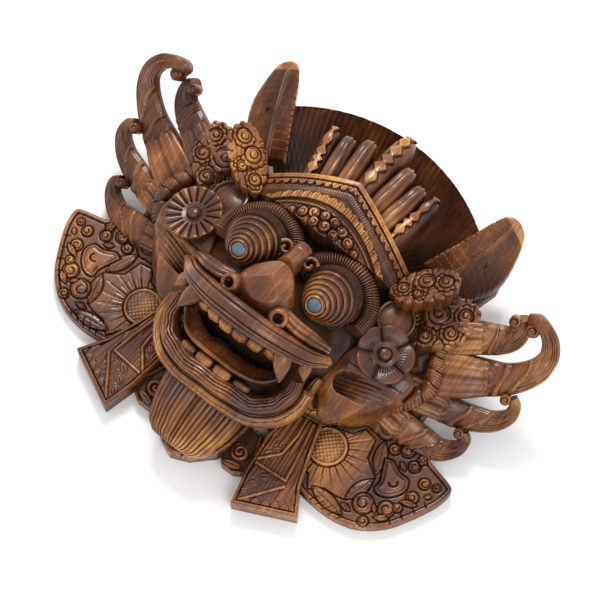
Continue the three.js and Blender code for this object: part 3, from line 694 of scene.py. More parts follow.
# ---- ear flaps and ribbons ----
def flap():
    """Ear flap: a rayed field round a medallion, with curls and leaves towards its rim."""
    outer = [[118, -30], [150, -33], [161, -37], [178, -41], [184, -45], [183, -56], [179, -67], [172, -81],
             [164, -94], [153, -105], [141, -112], [125, -116], [107, -116], [88, -112]]
    arc = [[98 * math.cos(a), -4 + 94 * math.sin(a)] for a in np.radians([-64, -52, -38, -26, -16])]
    bulb = smooth_outline([[129, -55], [136, -53], [145, -57], [154, -58], [157, -67], [151, -77], [143, -81],
                           [137, -79], [137, -72], [133, -63]], 60)
    star = [[93, -57], [99, -55], [104, -46], [115, -48], [119, -63], [133, -72], [128, -84], [126, -99],
            [119, -101], [108, -102], [98, -110], [91, -100], [80, -100], [80, -60]]

    def relief(x, y, depth):
        p = Pattern(x, y, -1.1)
        p.height = np.where(depth < 3.2, -0.1, p.height)
        p.cut(bell(depth - 3.6, 0.45), 0.9)
        # fan of fine rays round the medallion
        mx, my = MEDALLION
        d, a = np.hypot(x - mx, y - my), np.arctan2(y - my, x - mx)
        inside = edge_distance(x, y, np.array(star, float))
        p.inlay(inside, 0.1, 1.5, 1.2)
        for count, far, deep in ((23, 27, 0.55), (11.5, 38, 0.7)):
            off = d * waves(count * a) / count
            p.cut(bell(off, 0.5) * (inside > 1.2) * smooth(far, far - 8, d), deep)
        golden = np.where(inside > 0, 0.4 * smooth(45, 20, d), 0)
        for base, tip, half in (((121, -44), (132, -70), 5.2), ((133, -73), (125, -99), 5.2),
                                ((94, -31), (118, -43), 5), ((99, -106), (131, -110), 5.6)):
            p.vesica(base, tip, half, 0.7)
        rim = edge_distance(x, y, bulb)
        p.inlay(rim, 1.5, 5.0, 1.6)
        p.cut(bell(rim - 2.2, 0.45), 0.8)
        p.cut(bell(np.hypot(x - 146, y + 67) - 3.2, 0.6) * (x - y > 212), 1.8)
        for cx, cy, r, start, hand in ((138, -93, 8.2, 1.2, 1), (154, -86, 6.6, 0.3, -1),
                                       (118, -37, 7.2, 0.6, 1), (131, -45, 4.6, 2.0, -1),
                                       (140, -40, 5.4, 4.0, 1), (151, -47, 4.8, 1.0, -1),
                                       (164, -67, 5.0, 2.2, 1), (165, -53, 4.6, 1.0, -1),
                                       (146, -104, 4.2, 2.0, 1), (160, -80, 3.8, 2.0, 1),
                                       (174, -50, 3.2, 0, 1), (131, -37, 3.6, 1.0, 1)):
            p.volute(cx, cy, r, start, hand)
        for base, tip, half in (((158, -75), (171, -70), 2.6), ((150, -97), (160, -91), 2.8),
                                ((144, -88), (149, -94), 2.0), ((171, -62), (175, -57), 2.0),
                                ((124, -103), (134, -104), 2.4), ((140, -50), (148, -54), 2.2)):
            p.vesica(base, tip, half, 0.7)
        p.blossom(153, -39.5, 4.2)
        for t in range(5):
            lean = 0.9 + 0.12 * t
            p.groove([[104 + 6 * t, -116], [106 + 6 * t + 2 * lean, -110]], 0.7, 1.3)
        for t in range(4):
            p.groove([[164 + 4.4 * t, -94 + 9 * t], [160 + 4.4 * t, -91 + 9 * t]], 0.6, 1.3)
        # medallion with a beaded net in a ring
        p.inlay(15.6 - d, 0.3, 1.0, 1.4)
        net = (0.5 + 0.5 * np.cos((x - mx + y - my) * 1.6)) * (0.5 + 0.5 * np.cos((x - mx - y + my) * 1.6))
        beads = -0.3 + 1.0 * net**0.6 + 1.4 * np.clip(1 - (d / 13) ** 2, 0, 1)
        p.height = np.where(d < 12.6, beads, p.height)
        p.height = np.maximum(p.height, np.where(np.abs(d - 14) < 1.5, -0.4 + 1.7 * mound(d - 14, 1.5), -9))
        h, recess, worn = p.result(0.6)
        return h, recess, np.clip(worn + golden, 0, 1)

    return board(smooth_outline(outer + arc, 130), level(0), level(FLAP_FRONT - 1.2), relief, 0.6)


def ribbon():
    """Hanging end of lined cloth with crossing bars and a hem of petals."""
    outline = [[53, -68], [77, -64], [84, -86], [94, -113], [107, -133.5], [61, -155.5], [54, -128],
               [50, -96]]

    def relief(x, y, depth):
        p = Pattern(x, y, -0.6)
        low = (y + 155.5) - 0.478 * (x - 61)
        across = (x - 51) / np.maximum(27 + (-66 - y) * 0.2, 5)
        lines = waves(across * 7 * math.pi, 0.6)
        above = (y > -101 + (x - 68) * 0.9) | (x > 84)
        fine = waves(across * 13 * math.pi, 0.6)
        body = np.where(x > 82 + (-94 - y) * 0.12, lines, np.where(y > -96, lines, fine))
        p.height = -1.5 + 1.9 * body - 0.4 * (1 - above)
        p.height = np.where(low < 10.5, -1.3, p.height)
        for base, tip, half in (((60, -104), (66, -99), 3.0), ((57, -111), (62, -104), 3.0),
                                ((64, -127), (72, -121), 3.4), ((74, -121), (80, -121), 3.0),
                                ((61, -136), (68, -130), 3.2), ((60, -145), (65, -138), 3.0)):
            p.vesica(base, tip, half, 0.6)
        for bar in ([[55, -117], [68, -102], [68.5, -84], [66, -68]],
                    [[57, -119], [83, -117], [79, -96], [73, -70]], [[85, -121], [64, -150]]):
            p.ridge(bar, 1.7, 1.7)
            p.groove([[q[0] + 1.6, q[1] - 1.6] for q in bar], 0.8, 0.9)
        along = (x - 61) * 0.902 + (y + 155.5) * 0.431
        petal = waves(along * math.pi / 7.3, 0.5)
        reach = 4.2 + 5.2 * petal
        p.raise_to(np.clip((reach - low) / 1.2, 0, 1) * (low > 4.0), 0.6)
        p.height = np.where(low < 3.6, 0.7, p.height)
        p.cut(bell(low - 3.8, 0.45), 1.2)
        p.height = np.where(depth < 2.4, np.maximum(p.height, 0.9), p.height)
        p.cut(bell(depth - 2.8, 0.4) * (low > 5), 1.1)
        return p.result(0.7)

    return board(outline, level(0), level(RIBBON_FRONT - 1), relief, 0.5)


# ---- crown ----
def diadem_front(x):
    return 103 - 0.0073 * x * x


def diadem():
    """Frontlet with a gabled top edge of petals, a beaded arch and curls below it."""
    def gable(x):
        return 79 - 0.379 * np.abs(x)

    def back(x, y):
        return 40 + 0.2 * np.maximum(46 - y, 0) + 12 * (np.abs(x) < 40)

    top = [[x, float(gable(x))] for x in (66, 33, 0, -33, -66)]
    low = [[x, 28 + 0.12 * abs(x)] for x in (-66, -44, -22, 0, 22, 44, 66)]

    def relief(x, y, depth):
        p = Pattern(x, y, -2.6)
        fall = (gable(x) - y) / math.hypot(1, 0.379)
        along = np.abs(x) * 1.07 + 0.2 * fall
        p.raise_to(np.clip((4.4 - fall) / 0.7, 0, 1), 0.2)
        petal = waves(along * math.pi / 6.4, 0.6)
        hatch = 0.75 + 0.25 * waves(along * math.pi / 1.6)
        p.raise_to(np.clip((6.4 + 3.4 * petal - fall) / 0.8, 0, 1) * (fall > 4.9) * hatch, -0.3)
        comb = waves(along * math.pi / 2.0, 0.8)
        p.raise_to((fall > 10.2) * np.clip((17 - fall) / 2.5, 0, 1) * (0.45 + 0.4 * comb), -1.0)
        arch = y - (54 - 0.0072 * x * x)
        bead = waves((x + 3.4) * math.pi / 6.8, 0.55)
        vein = 0.7 + 0.3 * waves((x + 3.4) * math.pi / 1.7)
        row = np.clip((arch + 3.6) / 0.8, 0, 1) * np.clip((2 + 2.4 * bead - arch) / 1.0, 0, 1)
        p.raise_to(row * vein, 0.6)
        band = y - (46.5 - 0.0068 * x * x)
        p.raise_to(mound(band, 1.5), -0.7)
        hair = waves((x * 0.9 + 0.3 * y * np.sign(x)) * math.pi / 2.6, 0.7)
        p.raise_to((band < -2) * (0.25 + 0.5 * hair), -1.2)
        for cx, cy, r, start, hand in ((-4.5, 42, 4.2, 1.5, 1), (4.5, 42, 4.2, 1.5, -1),
                                       (-13, 39.5, 4.6, 2.2, -1), (13, 39.5, 4.6, 0.9, 1),
                                       (-9, 33.5, 4.2, 2.6, 1), (9, 33.5, 4.2, 0.5, -1), (0, 35, 4.8, 1.5, 1),
                                       (-21, 36, 4.2, 2.6, 1), (21, 36, 4.2, 0.5, -1),
                                       (-29, 33, 3.4, 2.6, -1), (29, 33, 3.4, 0.5, 1)):
            p.volute(cx, cy, r, start, hand)
        h, recess, worn = p.result(-0.6)
        worn = worn + 0.35 * (fall < 10) + 0.3 * mound(arch, 5)
        return h, np.clip(recess * 0.9 - 0.1, 0, 1), np.clip(worn, 0, 1)

    return board(top + low, back, lambda x, y: diadem_front(x), relief, 0.62, 1.0)


def halo():
    """Fluted dish: the section runs up the inside, over the rim and down the back."""
    bm, u, v = sheet(620, 30)
    angle = math.pi / 2 + (0.5 - u) * 2 * math.radians(47)
    stop = through([[80, 22], [96, 26], [114, 33], [132, 46], [144, 58.5], [145.6, 60], [146, 57], [144, 50],
                    [130, 32], [112, 14], [98, 4], [80, 2], [80, 22]], v)
    radius, height = stop[:, 0], stop[:, 1]
    inside = smooth(0.02, 0.06, v) * smooth(0.40, 0.37, v)
    x, y = radius * np.cos(angle), radius * np.sin(angle) - 1
    fan = np.arctan2(x, y + 118)
    flute = waves(fan * 175)
    height = height - inside * 1.5 * (1 - flute) ** 0.7
    chips = np.sin(angle * 61) * np.sin(angle * 23 + 1) + 0.5 * np.sin(angle * 97)
    height = height - 0.7 * np.clip(chips - 0.3, 0, 1) * smooth(0.36, 0.42, v) * smooth(0.6, 0.5, v)
    recess = inside * np.clip((1 - flute) ** 0.9 * 0.95 + 0.3 * smooth(125, 90, radius), 0, 1)
    settle(bm, np.column_stack([x, y, height]), recess,
           (0.2 + 0.6 * np.clip(chips, 0, 1)) * smooth(0.36, 0.42, v) * smooth(0.48, 0.44, v))
    bmesh.ops.remove_doubles(bm, verts=bm.verts, dist=0.01)
    bmesh.ops.holes_fill(bm, edges=[e for e in bm.edges if e.is_boundary], sides=0)
    return closed(bm, 0.001)


def flame(x, lean, length, top, width, notches):
    """Upright lock of the crown; the notched ones have a pale zigzag strip."""
    foot = 76 - 0.36 * abs(x)
    front = float(diadem_front(x)) - 12
    fall = front - top
    stations = [[x, foot - 12, front - 19, width, 15],
                [x + lean * 0.3, foot + length * 0.25, front - 15 - fall * 0.1, width * 1.1, 15],
                [x + lean * 0.6, foot + length * 0.55, front - 10 - fall * 0.4, width * 1.1, 13],
                [x + lean * 0.88, foot + length * 0.85, top + fall * 0.1, width * 0.9, 9],
                [x + lean, foot + length, top - 3, width * 0.45, 3]]

    def relief(u, angle, c):
        face = smooth(-0.3, 0.3, np.sin(angle))
        if notches:
            tooth = np.abs((u * notches) % 1.0 - 0.5) * 2
            reach = (0.16 + 0.34 * tooth) * smooth(0.02, 0.3, u) + 0.45 * smooth(0.86, 0.97, u)
            strip = smooth(reach + 0.07, reach - 0.07, np.abs(c + 0.12))
            groove = bell(np.abs(c + 0.12) - reach - 0.1, 0.06)
            height = 1.2 * strip - 1.3 * (1 - strip) - 0.8 * groove
            return height * face, np.clip(0.35 * (1 - strip) + 0.8 * groove, 0, 1) * face, 0.5 * strip * face
        grooves = waves(c * 1.4 * math.pi + 1.1, 0.6)
        return -1.5 * (1 - grooves) * face, (0.12 + 0.7 * (1 - grooves) ** 2) * face, 0.1 * grooves

    return rope(stations, along=96 if notches else 48, around=56 if notches else 40, relief=relief, boxy=0.15)


def feather():
    """Tall feather that leans forward beside the crown."""
    outline = [[66, 72], [75, 88], [83, 103], [91, 119], [98, 130], [104, 134], [111, 133.5], [117, 129],
               [120.5, 116], [121, 100], [114, 84], [98, 68]]
    spine = through([[84, 72], [94, 92], [102, 112], [108, 133]], np.linspace(0, 1, 24))

    def relief(x, y, depth):
        p = Pattern(x, y, 0.0)
        d, along = line_distance(x, y, spine)
        inner = smooth(0.5, -0.5, x - 84 - 0.4 * (y - 72))
        wave = (along * 15 - 0.055 * d + 0.0035 * d * d) % 1.0
        tooth = (along * 11 + 0.05 * d) % 1.0
        p.height = p.height - 0.5
        p.cut(bell(wave - 0.5, 0.2) * (1 - inner), 1.0)
        p.height = p.height + inner * (0.9 * tooth - 0.2)
        p.cut(bell(tooth - 0.04, 0.08) * inner, 0.6)
        p.cut(bell(d - 1.9, 0.4), 0.8)
        p.height = np.maximum(p.height, -0.6 + 1.3 * mound(d, 1.5))
        notch = waves(along * 15 * math.pi)
        p.cut(bell(notch, 0.2) * smooth(2.2, 0.8, depth), 1.4)
        h, recess, worn = p.result(0.2)
        tip = smooth(126.5, 128.5, y + 0.35 * (x - 108))
        h = h * (1 - tip) - 2.2 * tip * np.clip((y - 124) / 9, 0, 1)
        line_worn = bell(d - 0.8, 0.7) * smooth(0.3, 0.6, along)
        stain_and_shade = 0.5 * bell(along - 0.42, 0.13) * (1 - inner)
        worn = worn * 0.5 + 0.95 * tip + 0.4 * line_worn + 0.25 * inner
        return h, (recess * 0.8 + stain_and_shade) * (1 - tip), np.clip(worn, 0, 1)

    def front(x, y):
        return 80 + 0.8 * (y - 115) - 0.55 * (x - 89)

    return board(smooth_outline(outline, 90), lambda x, y: front(x, y) - 11, front, relief, 0.5)


def second_feather():
    """Plain feather low behind the first."""
    outline = [[98, 56], [110, 64], [115, 80], [120, 96], [117.5, 111], [108, 106], [98, 82]]
    return board(outline, lambda x, y: 20 + 0.12 * (y - 75), lambda x, y: 31 + 0.12 * (y - 75), dull, 1.2)


# ---- face ----
def head_edge(angle):
    """Reach of the head from its middle for an angle in plan, narrow at the jaw."""
    marks = np.radians([-180, -160, -140, -120, -105, -90, -75, -60, -40, -20, 0, 25, 50, 70, 90, 110, 130,
                        155, 180])
    reach = [108, 98, 84, 84, 96, 102, 96, 84, 84, 98, 108, 112, 104, 98, 96, 98, 104, 112, 108]
    return np.interp(angle, marks, reach)


def head_front(x, y):
    shell = 78 * np.sqrt(np.clip(1 - (x / 110) ** 2 - ((y + 4) / 104) ** 2, 0, 1))
    muzzle = 110 * np.sqrt(np.clip(1 - (x / 67) ** 2 - ((y + 34) / 57) ** 2, 0, 1))
    blend = 14.0
    joined = blend * np.log(np.exp(shell / blend) + np.exp(muzzle / blend))
    return joined - blend * math.log(2) * np.exp(-np.abs(shell - muzzle) / 25)


def head():
    """Hollow shell: the section runs from the crown of the face out to the rim and back up inside."""
    bm, u, v = sheet(130, 180)
    angle = (v * 2 - 1) * math.pi
    edge = head_edge(angle)
    outer = np.clip(u / 0.55, 0, 1)
    inner = np.clip((1 - u) / 0.42, 0, 1)
    is_out, is_in = u <= 0.55, u >= 0.58
    inside = np.where(is_in, np.sin(inner * math.pi / 2) * 0.84, 0.92)
    share = np.where(is_out, np.sin(outer * math.pi / 2), inside)
    x, y = edge * share * np.cos(angle), -4 + edge * share * np.sin(angle)
    fall = np.sqrt(np.clip(1 - np.sin(outer * math.pi / 2) ** 8, 0, 1))
    z_out = np.maximum(head_front(x, y), 18) * fall
    z_in = np.maximum(head_front(x, y) - 16, 0) * np.sqrt(np.clip(1 - (share / 0.84) ** 4, 0, 1))
    z = np.where(is_out, z_out, np.where(is_in, z_in, 0))
    tool = 0.5 * np.sin(x * 0.9 + 2 * np.sin(y * 0.31)) * np.sin(y * 0.8 + 1.7 * np.sin(x * 0.27))
    z = z + np.where(is_in & (share < 0.8), tool, 0)
    # The face of the shell, the ground between the raised parts, is darkened as dark stain and painted shade;
    # its inside, under the mask, as painted shade.
    settle(bm, np.column_stack([x, y, z]), np.where(is_out, 0.75, 0.9))
    return closed(bm, 0.05)


def mouth_cutter():
    t = np.linspace(1, -1, 25)
    top = np.column_stack([41 * t, -69 + 7 * t * t])
    low = np.column_stack([41 * t[::-1], -89 + 23 * t[::-1] ** 2])[1:-1]
    return np.vstack([top, low])


def without_scraps(bm):
    """Drops the flat doubled faces and the loose lump that a cut leaves behind."""
    bmesh.ops.remove_doubles(bm, verts=bm.verts, dist=0.001)
    bmesh.ops.triangulate(bm, faces=bm.faces)
    same = {}
    for face in bm.faces:
        same.setdefault(frozenset(face.verts), []).append(face)
    doubled = [face for faces in same.values() if len(faces) > 1 for face in faces]
    bmesh.ops.delete(bm, geom=doubled, context="FACES")
    left, largest = set(bm.faces), []
    while left:
        waiting, island = [left.pop()], []
        while waiting:
            face = waiting.pop()
            island.append(face)
            joined = {other for edge in face.edges for other in edge.link_faces} & left
            left -= joined
            waiting.extend(joined)
        largest = max(largest, island, key=len)
    kept = set(largest)
    bmesh.ops.delete(bm, geom=[face for face in bm.faces if face not in kept], context="FACES")
    drop_loose_points(bm)


def cut_mouth(form):
    """Opens the mouth through the shell of the face, and darkens the cut edge round the opening as painted
    shade inside the mouth.
    """
    outline = mouth_cutter()
    tool = bmesh.new()
    ring = [tool.verts.new((x, y, -10)) for x, y in outline]
    lid = tool.faces.new(ring)
    lifted = bmesh.ops.extrude_face_region(tool, geom=[lid])["geom"]
    bmesh.ops.translate(tool, vec=(0, 0, 150), verts=[g for g in lifted if isinstance(g, bmesh.types.BMVert)])
    bmesh.ops.recalc_face_normals(tool, faces=tool.faces)
    objects = []
    for name, bm in (("shell", form), ("cutter", tool)):
        mesh = bpy.data.meshes.new(name)
        bm.to_mesh(mesh)
        bm.free()
        objects.append(placed(name, mesh))
    shell, cutter = objects
    cut = shell.modifiers.new("cut", "BOOLEAN")
    cut.operation, cut.solver, cut.object = "DIFFERENCE", "MANIFOLD", cutter
    graph = bpy.context.evaluated_depsgraph_get()
    opened = bmesh.new()
    opened.from_mesh(shell.evaluated_get(graph).to_mesh())
    without_scraps(opened)
    for made in objects:
        mesh = made.data
        bpy.data.objects.remove(made)
        bpy.data.meshes.remove(mesh)
    for name in ("recess", "worn"):
        if name not in opened.verts.layers.float:
            opened.verts.layers.float.new(name)
    dark = opened.verts.layers.float["recess"]
    at = np.array([v.co[:2] for v in opened.verts])
    # Painted shade: the cut edge round the mouth opening is darkened to black.
    for v, d in zip(opened.verts, edge_distance(at[:, 0], at[:, 1], outline)):
        if abs(d) < 0.5:
            v[dark] = 1.4
    return opened


def ring_radius(i):
    """Radius of a ring of the eye, counted from the outer one."""
    return EYE_RADIUS - i / EYE_RINGS * (EYE_RADIUS - PUPIL - 2.6)


def eye():
    """Stepped cone of rings round a seat for the pupil."""
    profile = [[0, -14], [23, -14], [23, -2]]
    for i in range(EYE_RINGS):
        radius = ring_radius(i)
        height = 24 * math.sin(i / EYE_RINGS * math.pi / 2.2)
        profile += [[radius, height - 1.6], [radius - 0.25, height - 0.2], [radius - 0.9, height + 0.5],
                    [radius - 1.9, height + 0.7], [radius - 2.3, height + 0.1]]
    profile += [[PUPIL + 2.3, 23.2], [PUPIL + 1.9, 24.3], [PUPIL + 1.1, 24.7], [PUPIL + 0.35, 24.2],
                [PUPIL + 0.3, 19.8], [0, 19.8]]

    def recess(points):
        r, h = np.hypot(points[:, 0], points[:, 1]), points[:, 2]
        nearest = np.min([np.abs(r - ring_radius(i)) for i in range(1, EYE_RINGS)], axis=0)
        step = np.clip(1 - nearest / 0.8, 0, 1) * 0.45 * (h > 0)
        # The upper side of the eye is darkened as painted shade under the brow, and its sunk foot below the
        # rings as painted shade between eye and face; the step at each ring is dark stain in the cut.
        return step + 0.8 * (h < -1) + 0.55 * smooth(3, 20, points[:, 1])

    return turned(profile, 72, EYE, EYE_TILT, 0, recess=recess)


def pupil():
    """Flat disc with a rounded edge, sunk in its seat."""
    r = PUPIL
    profile = [[0, 20.2], [r, 20.2], [r, 23.7], [r - 0.25, 24.1], [r * 0.8, 24.4], [r * 0.45, 24.6],
               [0, 24.65]]
    return turned(profile, 48, EYE, EYE_TILT, 0)


def brow(reach, width, lashes, lift):
    arc = []
    for a in np.radians(np.linspace(-12, 182, 9)):
        c, s = math.cos(a), math.sin(a)
        arc.append([EYE[0] + reach * c, EYE[1] + 4 + reach * s, 90 + lift - 14 * max(c, 0) - 5 * s, width, 7])

    def relief(u, angle, c):
        if not lashes:
            return 0 * u, 0 * u
        wave = waves(u * lashes * math.pi + 0.6 * c, 0.7)
        face = smooth(-0.3, 0.2, np.sin(angle))
        return -1.5 * (1 - wave) * face, 0.4 + 0.6 * (1 - wave) ** 2 * face

    return rope(arc, along=max(60, 5 * lashes), around=30, relief=relief)


def nose():
    """Broad nose cut to a flat shield in front, with sloping sides."""
    bm = blank()
    bmesh.ops.create_uvsphere(bm, u_segments=96, v_segments=72, radius=1)
    p = np.array([v.co[:] for v in bm.verts])
    drop = (1 - p[:, 1]) / 2
    x = p[:, 0] * (11.5 + 14 * np.sin(drop * 2.0))
    y = p[:, 1] * 25 - 31
    z = p[:, 2] * 27 + 104
    shield = 126.5 + 0.17 * (y + 36)
    side = (np.abs(x) + 1) * 0.77 + (y + 19) * 0.64
    z = np.minimum(z, np.minimum(shield, 126 - 0.8 * np.maximum(side, -4)))
    settle(bm, np.column_stack([x, y, z]), 0.0, 0.18)
    return bm


def nostril():
    """Ringed nostril beside the tip of the nose."""
    profile = [[0, -14], [8.4, -14], [8.2, -3], [7.6, -0.6], [6.6, 1.2], [5.2, 1.6], [4.0, 0.9], [3.4, -0.8],
               [3.3, -6], [0, -6]]
    return turned(profile, 48, (22.5, -48, 121), 0.45, 0.25,
                  recess=lambda p: np.where((np.hypot(p[:, 0], p[:, 1]) < 3.6) & (p[:, 2] < -0.7), 1.0, 0.0))


def nose_wing():
    """Two smile folds that run from the nostril under the eye."""
    stations = [[24, -42, 112, 7, 9], [35, -44, 112, 7.5, 8], [47, -42, 104, 7, 8], [58, -38, 92, 4, 6]]

    def relief(u, angle, c):
        fold = np.abs(np.cos(c * 1.5 * math.pi + 0.5)) ** 0.7
        face = smooth(0, 0.4, np.sin(angle))
        return -1.8 * (1 - fold) * face, 0.8 * (1 - fold) ** 2 * face

    return rope(stations, along=60, around=48, relief=relief)


def muzzle_band(stations, cuts, depth=1.4, waviness=0.0, front=(0, -0.35, 1), worn=0.0):
    """Band round the muzzle with long grooves at the given side positions, -1 to 1."""
    def relief(u, angle, c):
        sway = waviness * np.sin(u * 34) * np.sin(u * 11 + 1)
        face = smooth(-0.1, 0.3, np.sin(angle))
        groove = np.max([bell(c + sway - at, wide) for at, wide in cuts], axis=0)
        return -depth * groove * face, np.clip(0.85 * groove**1.5, 0, 1) * face

    facing = np.array(front, float)
    facing /= np.linalg.norm(facing)
    return rope(stations, along=130, around=76, front=facing, relief=relief, worn=worn)


def mirrored(half):
    """Stations from the left end through the middle to the right end."""
    return [[-x, *rest] for x, *rest in half[::-1]] + half[1:]


def block(low_y, x, z, size, lean, slope=0.0):
    """Rounded tooth."""
    bm = blank()
    bmesh.ops.create_cube(bm, size=1)
    bmesh.ops.bevel(bm, geom=bm.edges, offset=0.34, offset_type="OFFSET", segments=5, profile=0.5,
                    affect="EDGES", material=-1)
    bmesh.ops.scale(bm, vec=size, verts=bm.verts)
    turn = Matrix.Rotation(lean, 3, "X") @ Matrix.Rotation(slope, 3, "Y")
    bmesh.ops.rotate(bm, cent=(0, 0, 0), matrix=turn, verts=bm.verts)
    bmesh.ops.translate(bm, vec=(x, low_y, z), verts=bm.verts)
    for v in bm.verts:
        v[bm.verts.layers.float["worn"]] = 0.35
    return bm


def fang(stations):
    """Curved fang with a raised line down its front."""
    def relief(u, angle, c):
        edge = np.clip(1 - np.abs(c) / 0.12, 0, 1) * (np.sin(angle) > 0)
        return 0.5 * edge, 0 * u

    return rope(stations, along=40, around=24, relief=relief, worn=0.2)


def chin():
    """Round body of the chin, behind the beard."""
    bm = blank()
    bmesh.ops.create_uvsphere(bm, u_segments=48, v_segments=32, radius=1)
    p = np.array([v.co[:] for v in bm.verts])
    # Painted shade: the chin is darkened all over, behind the beard.
    settle(bm, np.column_stack([p[:, 0] * 48, p[:, 1] * 30 - 82, p[:, 2] * 44 + 34]), 0.75)
    return bm


def beard():
    """Tongue-shaped beard of long parallel locks."""
    stations = [[0, -92, 44, 33, 20], [0, -108, 42, 35, 20], [0, -124, 37, 33, 19], [0, -136, 32, 29, 16],
                [0, -143, 29, 26, 14], [0, -148, 27, 19, 10]]

    def relief(u, angle, c):
        lock = np.abs(np.cos(c * 9 * math.pi)) ** 0.7
        fine = waves(c * 31 * math.pi)
        face = smooth(-0.15, 0.3, np.sin(angle))
        tip = smooth(1.0, 0.9, u)
        golden = 0.25 + 0.55 * smooth(0.25, 0.9, u) * (0.4 + 0.6 * smooth(0.4, -0.5, c))
        height = (-1.7 * (1 - lock) * tip - 0.25 * fine) * face
        return height, np.clip((1 - lock) ** 2 * 0.9, 0, 1) * face, golden

    return rope(stations, along=66, around=260, relief=relief, boxy=0.35)


def coil_rope(x, y, z, radius, thick, start, hand):
    """Raised curl."""
    line = coil_line(x, y, radius, 1.1, start, hand)[::4]
    return rope([[px, py, z, thick, thick * 1.8] for px, py in line], along=60, around=18)


def back_plates(face):
    """Notched plate and two scrolled leaves behind the beard."""
    outline = [[-36, -92], [-33, -120], [-29, -132], [-14, -147], [0, -153], [14, -147], [29, -132],
               [33, -120], [36, -92]]

    def notched(x, y, depth):
        p = Pattern(x, y, -0.2)
        for t in (-20, -9, 9, 20):
            p.groove([[t, -150], [t * 0.9, -128]], 1.0, 3)
        return p.result(2)

    face.add(board(outline, level(0), level(17), notched, 1.0))
    leaf = [[27, -98], [28, -128], [36, -135], [46, -135], [54, -130], [57, -112], [56, -98]]

    def curled(x, y, depth):
        p = Pattern(x, y, -1.6)
        p.scroll(41, -119, 8, 0.4, 1, 1.6)
        p.scroll(52, -106, 4, 2, -1, 1.2)
        p.leaf((34, -132), (50, -128), 3.4, 1.0)
        p.ridge([[46, -100], [55, -122]], 1.6, 1.0)
        p.raise_to(np.clip((1.8 - depth) / 1, 0, 1), 0.2)
        return p.result(0.8)

    for side in (-1, 1):
        face.add(board(leaf, level(0), level(11.5), curled, 0.6), side)


# ---- ears, roundels, discs ----
def ear_leaf():
    """Fleshy ear: a drooping lobe with an arched hollow that fans out into it."""
    outline = [[70, -6], [65, -18], [62.5, -30], [60.5, -42], [60.5, -52], [64.5, -56], [68, -60], [71, -65],
               [79, -66.5], [87, -61], [95, -49], [103, -37.5], [113, -29], [118, -18], [117, -6], [95, 0]]
    known = np.array([[67, -13, 67], [63, -28, 62], [61, -42, 56], [61, -53, 50], [71, -65, 40],
                      [79, -66, 40], [87, -60, 44], [95, -48, 48], [103, -36, 52], [114, -27, 55],
                      [117, -9, 58], [85, -35, 55], [80, -52, 47], [90, -12, 64]])

    def terms(x, y):
        a, b = (x - 88) / 30, (y + 35) / 30
        return np.column_stack([np.ones_like(a), a, b, a * a, a * b, b * b])

    fit = np.linalg.lstsq(terms(known[:, 0], known[:, 1]), known[:, 2], rcond=None)[0]

    def front(x, y):
        return terms(x, y) @ fit

    def relief(x, y, depth):
        u = (x - 76) * 0.97 + (y + 39) * 0.24
        v = -(x - 76) * 0.24 + (y + 39) * 0.97
        mouth = np.where(u < 0, 8.2 - np.hypot(u, v), 8.2 - np.abs(v) + 0.08 * u)
        ramp = smooth(22, -4, u)
        hollow = smooth(0, 1.6, mouth) * ramp
        fan = waves(v * math.pi / 3.1, 0.7)
        lip = mound(v - 11.4 + 0.09 * u, 2.6) * (u > -2)
        height = (2.4 * (smooth(0, 9, depth) - 1) - 9 * hollow
                  - 1.2 * (1 - fan) * smooth(0.4, 2.5, mouth) * smooth(40, 22, u))
        height = height + 1.8 * lip * smooth(0, 3, depth)
        recess = (0.75 * hollow * smooth(16, -4, u)
                  + 0.7 * (1 - fan) ** 2 * smooth(0.4, 2.5, mouth) * smooth(40, 22, u))
        recess = recess + 0.6 * bell(v - 7.2 + 0.09 * u, 0.8) * (u > 2)
        worn = 0.6 * smooth(6, 22, u) * smooth(-4, -12, v) + 0.15
        return height, np.clip(recess, 0, 1), worn

    return board(smooth_outline(outline, 100), lambda x, y: front(x, y) - 12, front, relief, 0.6, 2.5)


def tendril():
    """Grooved band along the inner edge of the ear."""
    stations = [[61, -46, 52, 3.4, 6], [59.5, -54, 47, 4.4, 6], [60.5, -62, 41, 4.6, 6],
                [66, -67, 37, 4.4, 5], [71, -65, 36, 2.6, 4]]

    def relief(u, angle, c):
        bead = waves(u * 2.5 * math.pi, 0.4)
        groove = bell(c - 0.1, 0.16) * (np.sin(angle) > 0)
        return -0.9 * groove - 1.2 * (1 - bead), np.clip(0.7 * groove + 0.6 * (1 - bead) ** 2, 0, 1)

    return rope(stations, along=60, around=30, relief=relief, worn=0.1)


def ear_back():
    """Plain body behind the ear."""
    stations = [[112, -14, 36, 10, 22], [97, -36, 26, 12, 24], [80, -50, 22, 12, 22]]
    return rope(stations, along=20, around=24)


def rayed(r, a, z):
    """Height, stain and rim of the left roundel: many narrow rays."""
    ray = waves(a * 18 / 2, 0.55)
    depth = (1 - ray) * smooth(5.5, 9, r) * smooth(23, 21, r)
    return z - 2.2 * depth * (z > -2), depth * 0.9, 1 - 0.015 * (1 - ray)


def petalled(r, a, z):
    """Height, stain and rim of the right roundel: five broad petals with fine cuts near the middle."""
    notch = waves(a * 5 / 2 + 0.3, 0.36)
    fine = waves(a * 21, 0.8)
    depth = (1 - notch) * smooth(6, 12, r)
    z = z - (4.5 * depth + 0.8 * (1 - fine) * smooth(6, 9, r) * smooth(17, 12, r)) * (z > -2)
    dark = depth * 1.6 + 0.5 * (1 - fine) ** 1.5 * smooth(6, 9, r) * smooth(17, 12, r)
    return z, np.clip(dark, 0, 1), 1 - 0.16 * (1 - notch)


